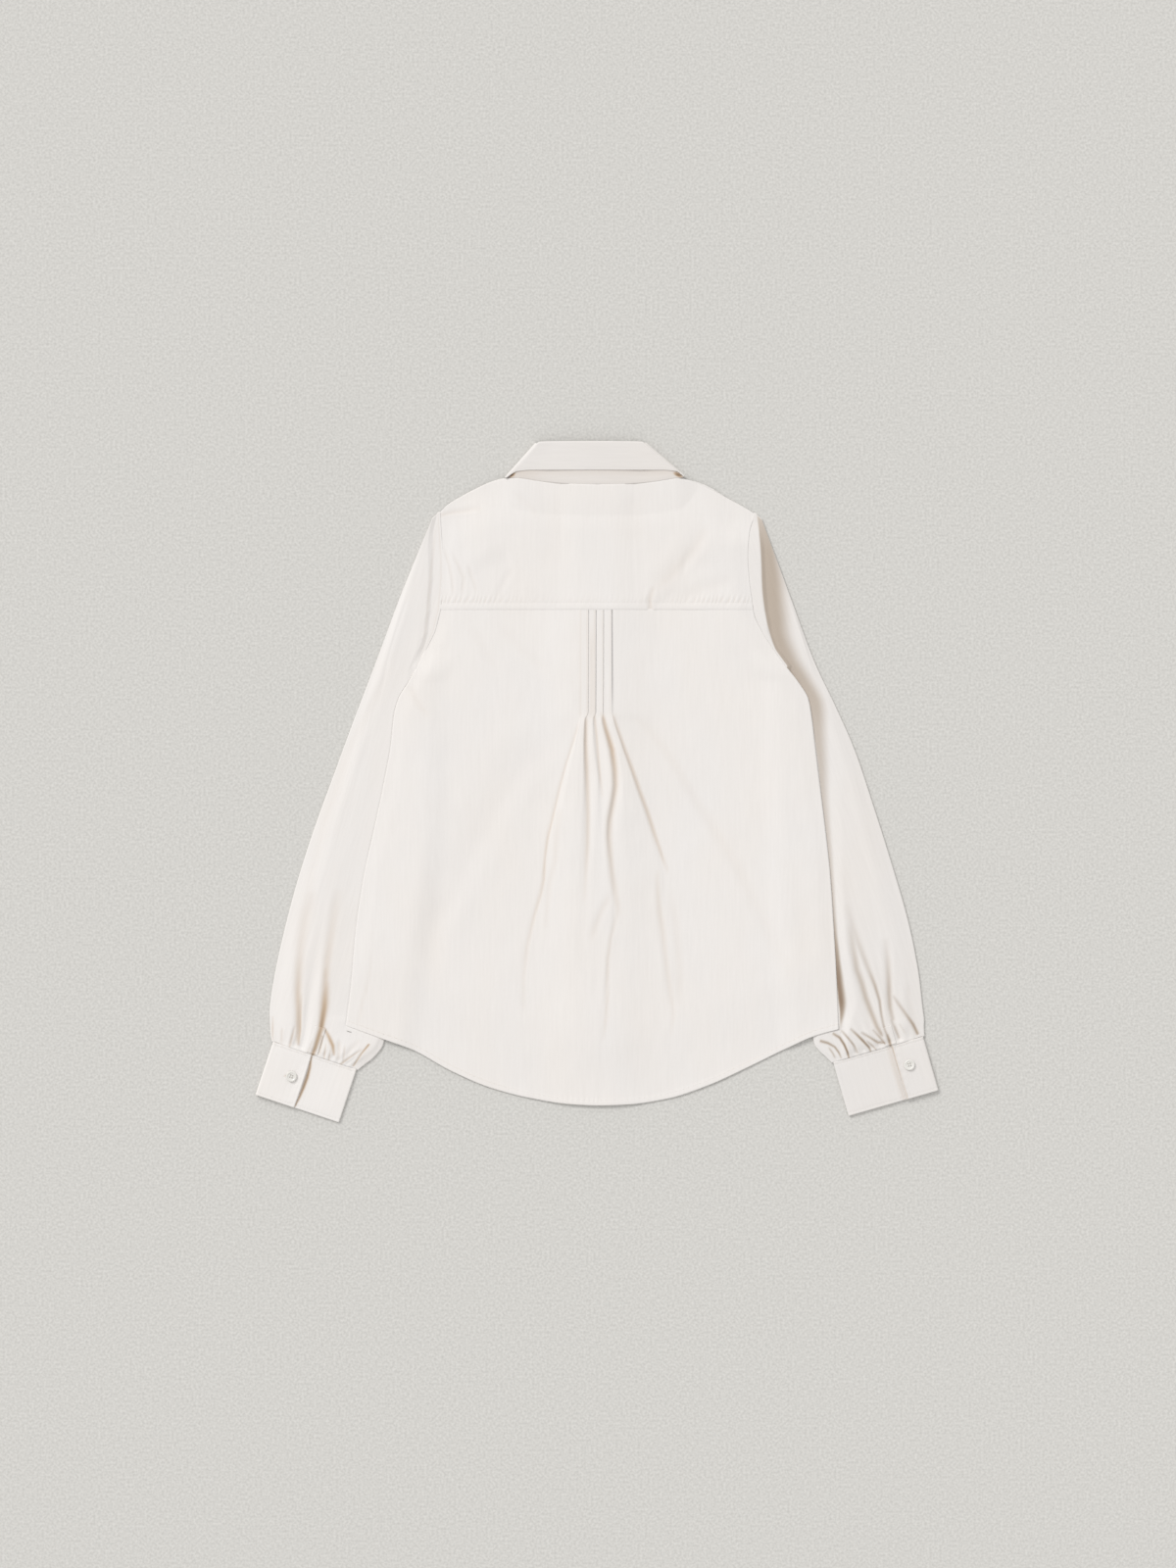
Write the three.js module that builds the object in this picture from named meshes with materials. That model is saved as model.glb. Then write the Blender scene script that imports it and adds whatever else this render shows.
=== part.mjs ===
// A pintuck blouse laid flat on its front with its back upwards, built from the pieces that a maker cuts and sews.
// Millimetres. +X is to the right, +Y towards the collar and +Z up from the surface that the blouse lies on.
// The origin is the middle of the footprint, on that surface.
// The tables are measured from the middle of the tucks, and the whole blouse is then moved onto its origin.
import * as THREE from "three";

const TO_FOOTPRINT_MIDDLE = { x: 1.1, y: 0.9 };

// Cloth and the room between its layers
const CLOTH = 1.0;
const CUFF_CLOTH = 1.2;
const SEAM_GAP = 0.3;
const LAYER_GAP = 0.35;

// Body levels and heights
const YOKE_SEAM_Y = 184;
const YOKE_RAISE = 0.4;
const SHOULDER_TIP_Y = { left: 287.5, right: 286.5 };
const UNDERARM_Y = 104;
const LEVEL_ROWS_END = 60;
const FRONT_HEM_SHORTER = 5;
const HEM_BAND = { width: 8, raise: 0.4 };
const SLEEVE_UNDER_BODY = 2.6;
const SLEEVE_LIFT = { high: SLEEVE_UNDER_BODY + LAYER_GAP, from: 44, to: 14 };
const COLLAR_LIFT = CLOTH + LAYER_GAP;

// Front opening, on the side that faces the surface
const BUTTON = { radius: 5.75, thick: 2.0, rim: 1.2, dish: 0.5 };
const PLACKET = { halfWidth: 15, lift: BUTTON.thick + SEAM_GAP, run: 55 };
const LAP_STEP = { from: 24, to: 16.5, wideFrom: 60 };
const FRONT_BUTTONS = { first: 205, pitch: 82, count: 6, collarY: 261 };

const BUTTON_SEGMENTS = 20;
const IVORY = 0xf1eeea;
const IVORY_SHADE = 0xefebe6;
const SHELL = 0xf4f2ee;

// The body's outline at each height: half widths left and right. Above the underarm it is the armhole seam.
const BODY_EDGE = [
  { y: 288, left: 170.0, right: 170.5 },
  { y: 265, left: 168.5, right: 163.5 },
  { y: 240, left: 166.6, right: 161.9 },
  { y: 217, left: 166.5, right: 163.4 },
  { y: 198, left: 168.3, right: 165.8 },
  { y: 178, left: 170.0, right: 169.0 },
  { y: 160, left: 175.5, right: 177.5 },
  { y: 142, left: 184.5, right: 189.0 },
  { y: 124, left: 192.2, right: 202.0 },
  { y: 104, left: 203.5, right: 217.5 },
  { y: 88, left: 213.0, right: 226.8 },
  { y: 70, left: 217.8, right: 230.2 },
  { y: 40, left: 220.8, right: 233.8 },
  { y: 0, left: 228.0, right: 238.6 },
  { y: -50, left: 238.5, right: 244.8 },
  { y: -100, left: 249.5, right: 250.2 },
  { y: -160, left: 258.5, right: 254.2 },
  { y: -220, left: 263.8, right: 257.4 },
  { y: -266, left: 270.0, right: 259.4 },
];

// Points that every piece at an armhole shares: parts of the way up the yoke, then heights below the yoke seam
const ARMHOLE_UP_YOKE = [1, 0.8, 0.56, 0.33, 0.14, 0];
const ARMHOLE_BELOW = [160, 142, 124, UNDERARM_Y];

// How far the sleeve stays level past the armhole seam before it rolls down
const ARMHOLE_ROLL = [
  { y: 288, left: 1.5, right: 1.5 },
  { y: 265, left: 7.0, right: 10.0 },
  { y: 240, left: 9.0, right: 13.0 },
  { y: 198, left: 9.0, right: 12.0 },
  { y: 178, left: 8.0, right: 10.0 },
  { y: 160, left: 5.0, right: 5.0 },
  { y: 142, left: 2.0, right: 2.0 },
  { y: 88, left: 1.5, right: 1.5 },
];

const HEM = [
  { x: -270, y: -262 },
  { x: -231, y: -276 },
  { x: -198, y: -288 },
  { x: -156, y: -311 },
  { x: -114, y: -329 },
  { x: -72, y: -340 },
  { x: -30, y: -346.5 },
  { x: 1, y: -348 },
  { x: 33, y: -347 },
  { x: 75, y: -341 },
  { x: 117, y: -327.5 },
  { x: 159, y: -308.5 },
  { x: 201, y: -288 },
  { x: 233, y: -273.5 },
  { x: 260, y: -266 },
];

// The yoke's upper edge: shoulder, neck seam, shoulder
const YOKE_TOP = [
  { x: -170, y: 287.5 },
  { x: -161.5, y: 296 },
  { x: -146, y: 305.5 },
  { x: -130, y: 313.8 },
  { x: -114.5, y: 320.8 },
  { x: -101, y: 324.3 },
  { x: -83, y: 324.8 },
  { x: -67, y: 322.4 },
  { x: -41, y: 319.2 },
  { x: -1, y: 318 },
  { x: 38, y: 318.7 },
  { x: 64, y: 321.3 },
  { x: 85, y: 324.4 },
  { x: 99, y: 322.8 },
  { x: 115.5, y: 316 },
  { x: 125, y: 311.5 },
  { x: 144, y: 301.5 },
  { x: 163, y: 291 },
  { x: 170.5, y: 286 },
];

// The fronts' upper edge: shoulder, then the neck scooped down to the opening
const FRONT_TOP = [
  { x: 0, y: 249 },
  { x: 20, y: 251.5 },
  { x: 45, y: 262 },
  { x: 70, y: 280 },
  { x: 88, y: 302 },
  { x: 99, y: 322.5 },
  { x: 115.5, y: 318 },
  { x: 133.5, y: 308 },
  { x: 152, y: 295.5 },
  { x: 171, y: 285.5 },
];

// The released tucks. Each line runs from the yoke seam to the hem: x and rise at each of these heights.
const FAN_Y = [184, 74, 66, 39, -3, -56, -108, -161, -213, -276, -348];
const FAN = [
  {
    name: "valleyA",
    x: [-17.2, -17.4, -19.5, -26.8, -38.9, -52, -58, -70.4, -79, -79, -81],
    rise: [0, 0, -0.3, -0.6, -1.0, -1.6, -1.6, -1.1, -0.9, -0.4, 0],
  },
  {
    name: "pleatA1",
    x: [-15.0, -15.2, -17.0, -22.5, -31, -41, -46, -55, -62, -62, -63],
    rise: [0.5, 0.5, 0.8, 1.3, 1.6, 1.6, 1.4, 1.1, 0.9, 0.5, 0],
  },
  {
    name: "pleatA2",
    x: [-13.0, -13.2, -14.6, -17.8, -21, -25, -28, -33, -36, -37, -38],
    rise: [0.9, 0.9, 1.3, 1.9, 2.2, 2.2, 1.9, 1.5, 1.1, 0.6, 0.1],
  },
  {
    name: "crestB",
    x: [-9.8, -10.2, -13.4, -14.6, -15.4, -17.5, -21, -23.5, -24.5, -26, -26.5],
    rise: [1.3, 1.3, 1.7, 1.8, 1.8, 1.8, 1.4, 1.1, 0.9, 0.5, 0.1],
  },
  {
    name: "valleyB",
    x: [-9.0, -9.3, -11.8, -12, -10.5, -10.6, -13.7, -15.2, -15.8, -17.9, -18],
    rise: [0, -0.2, -1.4, -2.6, -2.6, -2.2, -1.4, -0.5, 0.1, 0.2, 0],
  },
  {
    name: "crestC",
    x: [-1.6, -2.0, -4.8, -4, 0.6, 0, -2.5, -5, -6, -8, -8.5],
    rise: [1.3, 1.3, 1.4, 1.4, 1.2, 1.0, 0.8, 0.7, 0.6, 0.4, 0],
  },
  {
    name: "valleyC",
    x: [-0.8, -1.1, -2.6, -0.3, 4.2, 5, 3.5, 1, -1, -3, -3.5],
    rise: [0, -0.2, -1.1, -1.7, -1.2, 0.6, 0.6, 0.5, 0.5, 0.3, 0],
  },
  {
    name: "crestD",
    x: [6.6, 6.2, 4.6, 10.5, 15.6, 9.6, 14, 14, 6.5, 0.8, -0.5],
    rise: [1.3, 1.3, 1.4, 1.6, 1.7, 1.6, 1.5, 1.2, 1.0, 0.6, 0.1],
  },
  {
    name: "valleyD",
    x: [7.4, 7.1, 7.4, 15.8, 20.7, 13.7, 19.4, 19.2, 11, 5.3, 3.5],
    rise: [0, -0.2, -1.5, -2.8, -3.0, -2.8, -2.3, -1.6, -1.2, -0.7, -0.1],
  },
  {
    name: "pleatE1",
    x: [11.0, 10.9, 12.6, 21, 28.5, 30, 37, 37, 34, 30, 29],
    rise: [0.7, 0.7, 1.3, 1.9, 2.2, 2.2, 1.9, 1.5, 1.1, 0.6, 0.1],
  },
  {
    name: "pleatE2",
    x: [13.0, 13.0, 14.8, 23.5, 35, 45, 53, 53, 55, 53, 53],
    rise: [1.0, 1.0, 1.6, 2.1, 2.2, 2.1, 1.9, 1.5, 1.0, 0.6, 0.1],
  },
  {
    name: "crestE",
    x: [14.8, 15.0, 17.0, 25.8, 39.5, 55, 66.5, 63, 69, 70, 71],
    rise: [1.3, 1.3, 1.6, 1.8, 1.8, 1.8, 1.7, 1.3, 0.9, 0.4, 0.1],
  },
  {
    name: "valleyE",
    x: [15.6, 16.2, 19.0, 28.4, 44.1, 62, 74, 70.9, 77.7, 79.3, 81],
    rise: [0, 0, -0.8, -1.4, -1.8, -2.0, -2.0, -1.2, -1.2, -0.6, -0.1],
  },
];

// Soft diagonal troughs that run from the tucks out to the side seams
const SOFT_TROUGHS = [
  {
    name: "toRight",
    fromX: 24,
    fromY: 70,
    toX: 215,
    toY: -225,
    bow: 26,
    width: 17,
    depth: 1.5,
  },
  {
    name: "toLeft",
    fromX: -60,
    fromY: 45,
    toX: -200,
    toY: -230,
    bow: -18,
    width: 20,
    depth: 1.0,
  },
];

// Sleeve sections from below the armhole to the cuff: the outer edge, the line where the sleeve comes out from under
// the body, the hidden inner edge, the height, and how far the section still bends as the armhole does
const SLEEVE_SECTIONS = {
  left: [
    { outerX: 190, outerY: 252, edgeX: 217.4, edgeY: 89, innerX: 202.7, innerY: 79, high: 4.6, bend: 0.75 },
    { outerX: 207, outerY: 207, edgeX: 223, edgeY: 54.6, innerX: 199.5, innerY: 42, high: 4.8, bend: 0.5 },
    { outerX: 229, outerY: 147, edgeX: 229.7, edgeY: 7.4, innerX: 199.5, innerY: -6, high: 5, bend: 0.25 },
    { outerX: 256.5, outerY: 73.5, edgeX: 241, edgeY: -45, innerX: 202.7, innerY: -62, high: 5.2, bend: 0.1 },
    { outerX: 285.6, outerY: -6.3, edgeX: 252, edgeY: -98, innerX: 208, innerY: -117, high: 5.4, bend: 0 },
    { outerX: 312, outerY: -81, edgeX: 260, edgeY: -150, innerX: 215.3, innerY: -168, high: 5.6, bend: 0 },
    { outerX: 330, outerY: -145, edgeX: 265, edgeY: -197, innerX: 220.5, innerY: -213, high: 5.7, bend: 0 },
    { outerX: 343.4, outerY: -203, edgeX: 269, edgeY: -234, innerX: 226.3, innerY: -249, high: 5.8, bend: 0 },
    { outerX: 349.4, outerY: -242.6, edgeX: 272.4, edgeY: -266, innerX: 230, innerY: -281.4, high: 5.8, bend: 0 },
    { outerX: 349.3, outerY: -261.5, edgeX: 275, edgeY: -283.5, innerX: 240.5, innerY: -296, high: 5.8, bend: 0 },
    { outerX: 348.6, outerY: -272, edgeX: 277.2, edgeY: -295, innerX: 250, innerY: -303.5, high: 5.2, bend: 0 },
  ],
  right: [
    { outerX: 192.2, outerY: 237.3, edgeX: 231, edgeY: 89, innerX: 216.3, innerY: 79, high: 4.4, bend: 0.75 },
    { outerX: 207, outerY: 198.5, edgeX: 236.5, edgeY: 56, innerX: 215.3, innerY: 42, high: 4.6, bend: 0.05 },
    { outerX: 228, outerY: 139.7, edgeX: 241, edgeY: 7.4, innerX: 216.3, innerY: -5.3, high: 4.8, bend: 0 },
    { outerX: 254, outerY: 83, edgeX: 247.8, edgeY: -45, innerX: 219.5, innerY: -59, high: 5.0, bend: 0 },
    { outerX: 280.4, outerY: 21, edgeX: 253.2, edgeY: -98, innerX: 222.6, innerY: -113, high: 5.3, bend: 0 },
    { outerX: 304.5, outerY: -55.7, edgeX: 257, edgeY: -150, innerX: 226.8, innerY: -168, high: 5.5, bend: 0 },
    { outerX: 327.3, outerY: -129, edgeX: 259.8, edgeY: -197, innerX: 229.4, innerY: -214, high: 5.7, bend: 0 },
    { outerX: 341.8, outerY: -192, edgeX: 261.5, edgeY: -234, innerX: 231.5, innerY: -250, high: 5.8, bend: 0 },
    { outerX: 348.3, outerY: -243.5, edgeX: 262.8, edgeY: -271.5, innerX: 234.2, innerY: -281, high: 5.8, bend: 0 },
    { outerX: 349.9, outerY: -256, edgeX: 265.9, edgeY: -281, innerX: 240.5, innerY: -289.8, high: 5.8, bend: 0 },
    { outerX: 349.7, outerY: -264.3, edgeX: 269.2, edgeY: -289, innerX: 247, innerY: -295.6, high: 5.2, bend: 0 },
  ],
};

// The last section that has the body above it, counted in the table
const LAST_SECTION_UNDER_BODY = 8;

// Past the roll at the armhole the sleeve drops to this level
const ROLL_FOOT = { left: 4.4, right: 3.0, out: 4.5 };
const SLEEVE_COLUMNS = { outer: 32, hidden: 6 };
const FOLD_INSET = 1.6;
const FOLD_ANGLES = [32, -32];

// Gathers into each cuff: share of the cuff's width from the outer edge, width and reach along the sleeve,
// depth, and how far the valley drifts across the sleeve as it climbs
const GATHERS = {
  left: [
    { at: 0.05, width: 2.6, depth: 1.4, reach: 32, drift: 0.0 },
    { at: 0.14, width: 2.2, depth: 1.2, reach: 22, drift: 0.0 },
    { at: 0.25, width: 3.0, depth: 2.2, reach: 55, drift: 0.03 },
    { at: 0.33, width: 4.2, depth: 2.6, reach: 180, drift: -0.02 },
    { at: 0.5, width: 4.6, depth: 3.0, reach: 150, drift: 0.06 },
    { at: 0.59, width: 2.6, depth: 1.8, reach: 24, drift: 0.02 },
    { at: 0.68, width: 3.0, depth: 2.2, reach: 40, drift: -0.03 },
    { at: 0.76, width: 2.4, depth: 1.8, reach: 22, drift: 0.0 },
    { at: 0.85, width: 2.8, depth: 2.0, reach: 34, drift: 0.05 },
    { at: 0.94, width: 2.6, depth: 1.8, reach: 34, drift: 0.02 },
  ],
  right: [
    { at: 0.06, width: 2.6, depth: 2.0, reach: 45, drift: 0.08 },
    { at: 0.15, width: 2.4, depth: 1.4, reach: 22, drift: 0.0 },
    { at: 0.25, width: 3.2, depth: 2.6, reach: 90, drift: 0.06 },
    { at: 0.35, width: 2.6, depth: 1.8, reach: 30, drift: 0.02 },
    { at: 0.46, width: 4.0, depth: 3.0, reach: 110, drift: 0.1 },
    { at: 0.55, width: 2.4, depth: 2.0, reach: 60, drift: 0.04 },
    { at: 0.64, width: 2.6, depth: 2.2, reach: 28, drift: 0.03 },
    { at: 0.73, width: 2.4, depth: 2.0, reach: 26, drift: 0.03 },
    { at: 0.82, width: 2.6, depth: 2.0, reach: 28, drift: 0.03 },
    { at: 0.92, width: 2.6, depth: 2.0, reach: 26, drift: 0.03 },
  ],
};

// Long soft troughs down each sleeve: distance in from the outer edge, width and depth
const SLEEVE_TROUGHS = {
  left: { in: 27, width: 9, depth: 1.3 },
  right: { in: 34, width: 10, depth: 0.9 },
};

// Each cuff: its upper outer corner, width, turn, and where its lapped end shows, from its outer edge
const CUFF_HEIGHT = 60;
const CUFF_UNDERLAP = 20;
const CUFFS = {
  left: { x: -347.4, y: -279.2, width: 95, turn: -18.4, lapEnd: 44 },
  right: { x: 349.6, y: -271.3, width: 101, turn: 16.0, lapEnd: 36 },
};
const CUFF_BUTTON = { fromLapEnd: 13, down: 29 };
const SLEEVE_PLACKET = { width: 12 };

// The collar lies in three stretches: flat over the back of the neck, turned round a line at each side, and
// flat below the fronts. Each row has the neck seam, the roll line and the leaf's outer edge.
const COLLAR_BACK = [
  { seamX: 0, rollX: 0, rollY: 363.6, edgeX: 0, edgeY: 333.2, edgeLift: 3.0 },
  { seamX: 30, rollX: 24, rollY: 363.6, edgeX: 36, edgeY: 333.2, edgeLift: 3.0 },
  { seamX: 60, rollX: 44, rollY: 363.5, edgeX: 69, edgeY: 333.2, edgeLift: 2.9 },
  { seamX: 82, rollX: 55, rollY: 363, edgeX: 86, edgeY: 331.8, edgeLift: 2.4 },
];
const COLLAR_TURN = {
  seam: { x: 92.5, y: 324.6 },
  left: { roll: { x: 63.7, y: 360.6 }, edge: { x: 96.3, y: 324.0 } },
  right: { roll: { x: 50.7, y: 360.6 }, edge: { x: 92.2, y: 325.2 } },
  angles: [62, 22, -22, -62],
};
const COLLAR_FRONT = [
  { seamX: 92, rollX: 60, rollY: 344, edgeX: 98.4, edgeY: 311 },
  { seamX: 87, rollX: 56, rollY: 321, edgeX: 93, edgeY: 287 },
  { seamX: 70, rollX: 44, rollY: 300, edgeX: 80, edgeY: 258 },
  { seamX: 45, rollX: 27, rollY: 285.5, edgeX: 64, edgeY: 234 },
  { seamX: 20, rollX: 9, rollY: 277.5, edgeX: 49, edgeY: 216 },
];
const COLLAR_FRONT_Z = 1.9;
const BACK_ROLL_SHIFT = -6.5;
const STAND_SHARE = { back: 0.66, front: 0.86 };
const LEAF_OFFSET = CLOTH + LAYER_GAP;
const STAND_END = { reach: 12, underZ: 2.85, overZ: 4.2 };

// Small helpers

const lerp = (a, b, t) => a + (b - a) * t;
const clamp01 = (t) => Math.min(1, Math.max(0, t));
const ease = (t) => clamp01(t) ** 2 * (3 - 2 * clamp01(t));
const step = (from, to, value) => ease((value - from) / (to - from));
const bell = (distance, width) => Math.exp(-((distance / width) ** 2));

// A smooth function through the rows of a table, from one of its columns to another
function through(rows, from, to) {
  const sorted = [...rows].sort((a, b) => a[from] - b[from]);
  const xs = sorted.map((row) => row[from]);
  const ys = sorted.map((row) => row[to]);
  const last = xs.length - 1;
  const slope = (i) => (ys[i + 1] - ys[i]) / (xs[i + 1] - xs[i]);
  const tangent = (i) => {
    if (i === 0) return slope(0);
    if (i === last) return slope(last - 1);
    const before = slope(i - 1);
    const after = slope(i);
    return before * after <= 0 ? 0 : (2 * before * after) / (before + after);
  };
  const tangents = xs.map((_, i) => tangent(i));
  return (value) => {
    const x = Math.min(xs[last], Math.max(xs[0], value));
    let i = 0;
    while (i < last - 1 && x > xs[i + 1]) i += 1;
    const span = xs[i + 1] - xs[i];
    const t = (x - xs[i]) / span;
    const rise = 2 * t ** 3 - 3 * t ** 2 + 1;
    const start = (t ** 3 - 2 * t ** 2 + t) * span * tangents[i];
    const end = (t ** 3 - t ** 2) * span * tangents[i + 1];
    return rise * ys[i] + start + (1 - rise) * ys[i + 1] + end;
  };
}

const spread = (count, from = 0, to = 1) =>
  Array.from({ length: count }, (_, i) => lerp(from, to, i / (count - 1)));

// The faces of a closed solid, turned round if they point inwards
function facingOut(points, index) {
  let volume = 0;
  for (let i = 0; i < index.length; i += 3) {
    const [a, b, c] = [0, 1, 2].map((k) => new THREE.Vector3(...points[index[i + k]]));
    volume += a.dot(b.cross(c));
  }
  return volume < 0 ? [...index].reverse() : index;
}

// A closed cloth wall between two grids of points. Rows run one way and columns the other;
// a ring grid joins its last column to its first.
function wallBetween(outer, inner, ring = false) {
  const rows = outer.length;
  const columns = outer[0].length;
  const points = [...outer.flat(), ...inner.flat()];
  const innerStart = rows * columns;
  const index = [];
  const at = (face, row, column) =>
    face * innerStart + row * columns + (column % columns);
  const quad = (a, b, c, d) => {
    const length = (p, q) =>
      Math.hypot(...points[p].map((value, axis) => value - points[q][axis]));
    if (length(a, c) <= length(b, d)) index.push(a, b, c, a, c, d);
    else index.push(a, b, d, b, c, d);
  };
  const acrossCount = ring ? columns : columns - 1;
  for (let row = 0; row < rows - 1; row += 1) {
    for (let column = 0; column < acrossCount; column += 1) {
      const next = column + 1;
      quad(
        at(0, row, column),
        at(0, row, next),
        at(0, row + 1, next),
        at(0, row + 1, column),
      );
      quad(
        at(1, row, column),
        at(1, row + 1, column),
        at(1, row + 1, next),
        at(1, row, next),
      );
    }
    if (!ring) {
      quad(at(0, row, 0), at(0, row + 1, 0), at(1, row + 1, 0), at(1, row, 0));
      const end = columns - 1;
      quad(
        at(0, row, end),
        at(1, row, end),
        at(1, row + 1, end),
        at(0, row + 1, end),
      );
    }
  }
  for (let column = 0; column < acrossCount; column += 1) {
    const next = column + 1;
    quad(at(0, 0, column), at(1, 0, column), at(1, 0, next), at(0, 0, next));
    const end = rows - 1;
    quad(
      at(0, end, column),
      at(0, end, next),
      at(1, end, next),
      at(1, end, column),
    );
  }
  const geometry = new THREE.BufferGeometry();
  geometry.setAttribute(
    "position",
    new THREE.Float32BufferAttribute(points.flat(), 3),
  );
  geometry.setIndex(facingOut(points, index));
  geometry.computeVertexNormals();
  return geometry;
}

// A wall of even thickness about a grid of middle points
function wallAround(middle, thickness) {
  const rows = middle.length;
  const columns = middle[0].length;
  const vector = (row, column) =>
    new THREE.Vector3(
      ...middle[Math.min(rows - 1, Math.max(0, row))][
        Math.min(columns - 1, Math.max(0, column))
      ],
    );
  const offset = (sign) =>
    middle.map((line, row) =>
      line.map((point, column) => {
        const along = vector(row, column + 1).sub(vector(row, column - 1));
        const down = vector(row + 1, column).sub(vector(row - 1, column));
        const normal = along.cross(down).normalize();
        return vector(row, column)
          .addScaledVector(normal, (sign * thickness) / 2)
          .toArray();
      }),
    );
  return wallBetween(offset(-1), offset(1));
}

// The body's outline and the heights of its layers

const edgeAt = {
  left: through(BODY_EDGE, "y", "left"),
  right: through(BODY_EDGE, "y", "right"),
};
const rollAt = {
  left: through(ARMHOLE_ROLL, "y", "left"),
  right: through(ARMHOLE_ROLL, "y", "right"),
};
const sleeveInnerAt = {
  left: through(SLEEVE_SECTIONS.left, "innerY", "innerX"),
  right: through(SLEEVE_SECTIONS.right, "innerY", "innerX"),
};
const hemAt = through(HEM, "x", "y");
const yokeTopAt = through(YOKE_TOP, "x", "y");
const frontTopAt = through(FRONT_TOP, "x", "y");
const sideOf = (x) => (x < 0 ? "left" : "right");

// Heights of the points that the yoke, the panels and the sleeve share along an armhole, from the shoulder down
const armholeLevels = (side) => [
  ...ARMHOLE_UP_YOKE.map((share) => lerp(YOKE_SEAM_Y, SHOULDER_TIP_Y[side], share)),
  ...ARMHOLE_BELOW,
];

// Where the lower layer is raised by a sleeve, the collar or the buttons under it
function frontLow(x, y) {
  const side = sideOf(x);
  const inner = Math.min(sleeveInnerAt[side](y), edgeAt[side](y));
  const reach = step(inner - SLEEVE_LIFT.from, inner - SLEEVE_LIFT.to, Math.abs(x));
  const bySleeve = SLEEVE_LIFT.high * reach * step(UNDERARM_Y + 40, UNDERARM_Y + 8, y);
  const fromNeck = frontTopAt(Math.abs(x)) - y;
  const byCollar = COLLAR_LIFT * step(92, 66, fromNeck) * step(150, 118, Math.abs(x));
  const byButtons = PLACKET.lift * step(PLACKET.halfWidth + PLACKET.run, PLACKET.halfWidth, Math.abs(x));
  return Math.max(bySleeve, byCollar, byButtons);
}

// The left front laps over the placket, so it is higher there
const lapRise = (x, from) => (CLOTH + LAYER_GAP) * step(from, LAP_STEP.to, Math.abs(x));

const frontHigh = (x, y) => frontLow(x, y) + lapRise(x, LAP_STEP.wideFrom) + CLOTH;

// Distance of a point inside the body's outline from its side seam or armhole
const insideEdge = (x, y) => edgeAt[sideOf(x)](y) - Math.abs(x);

// The underside of the back layer: it lies on the front at the edges and is full in between
function backLow(x, y) {
  const edge = step(-1, 18, insideEdge(x, y));
  const hem = step(2, 90, y - hemAt(x));
  const shoulder = step(0, 26, yokeTopAt(x) - y);
  const neck = step(112, 84, Math.abs(x)) * step(60, 10, yokeTopAt(x) - y);
  const centre = bell(x, 95) * step(-330, -120, y) * step(260, 120, y);
  const open = Math.max(shoulder, neck);
  const fullness = 0.8 + 0.6 * hem + 0.9 * centre;
  const level = 0.25 + fullness * edge * (0.3 + 0.7 * hem) * open;
  return frontHigh(x, y) + LAYER_GAP + level + 0.4 * neck;
}
const backHigh = (x, y) => backLow(x, y) + CLOTH;

function softTroughs(x, y) {
  return SOFT_TROUGHS.reduce((sum, trough) => {
    const spanX = trough.toX - trough.fromX;
    const spanY = trough.toY - trough.fromY;
    const length = Math.hypot(spanX, spanY);
    const along =
      ((x - trough.fromX) * spanX + (y - trough.fromY) * spanY) / length ** 2;
    const across =
      ((x - trough.fromX) * -spanY + (y - trough.fromY) * spanX) / length;
    const bow = trough.bow * Math.sin(Math.PI * clamp01(along));
    const fade = Math.sin(Math.PI * clamp01(along)) ** 0.7;
    return sum - trough.depth * bell(across - bow, trough.width) * fade;
  }, 0);
}

// Panels of the body

function panelBetween(top, bottom, pointAt, rows, columns) {
  const grid = (height) =>
    rows.map((v) =>
      columns.map((u) => {
        const [x, y] = pointAt(u, v);
        return [x, y, height(x, y, u, v)];
      }),
    );
  return wallBetween(grid(top), grid(bottom));
}

function backYoke() {
  const seamY = YOKE_SEAM_Y + SEAM_GAP / 2;
  const topXs = [
    -171, -161, -151, -140, -128, -115, -101, -83, -67, -50, -30, -10, 10, 30,
    48, 64, 85, 99, 112, 126, 140, 151, 161, 170.5,
  ];
  const rows = [...ARMHOLE_UP_YOKE, 0.05, 0.95].sort((a, b) => a - b);
  const pointAt = (topX, v) => {
    const side = sideOf(topX);
    const tipX = Math.abs(side === "left" ? topXs[0] : topXs[topXs.length - 1]);
    const y = lerp(seamY, yokeTopAt(topX), v);
    const edge = edgeAt[side](Math.min(y, SHOULDER_TIP_Y[side]));
    return [(topX / tipX) * edge, y];
  };
  const pucker = (x, y) => 0.25 * Math.cos(x / 3.1) * step(16, 4, y - seamY);
  const top = (x, y) => backHigh(x, y) + YOKE_RAISE + pucker(x, y);
  return panelBetween(top, backLow, pointAt, rows, topXs);
}

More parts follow.
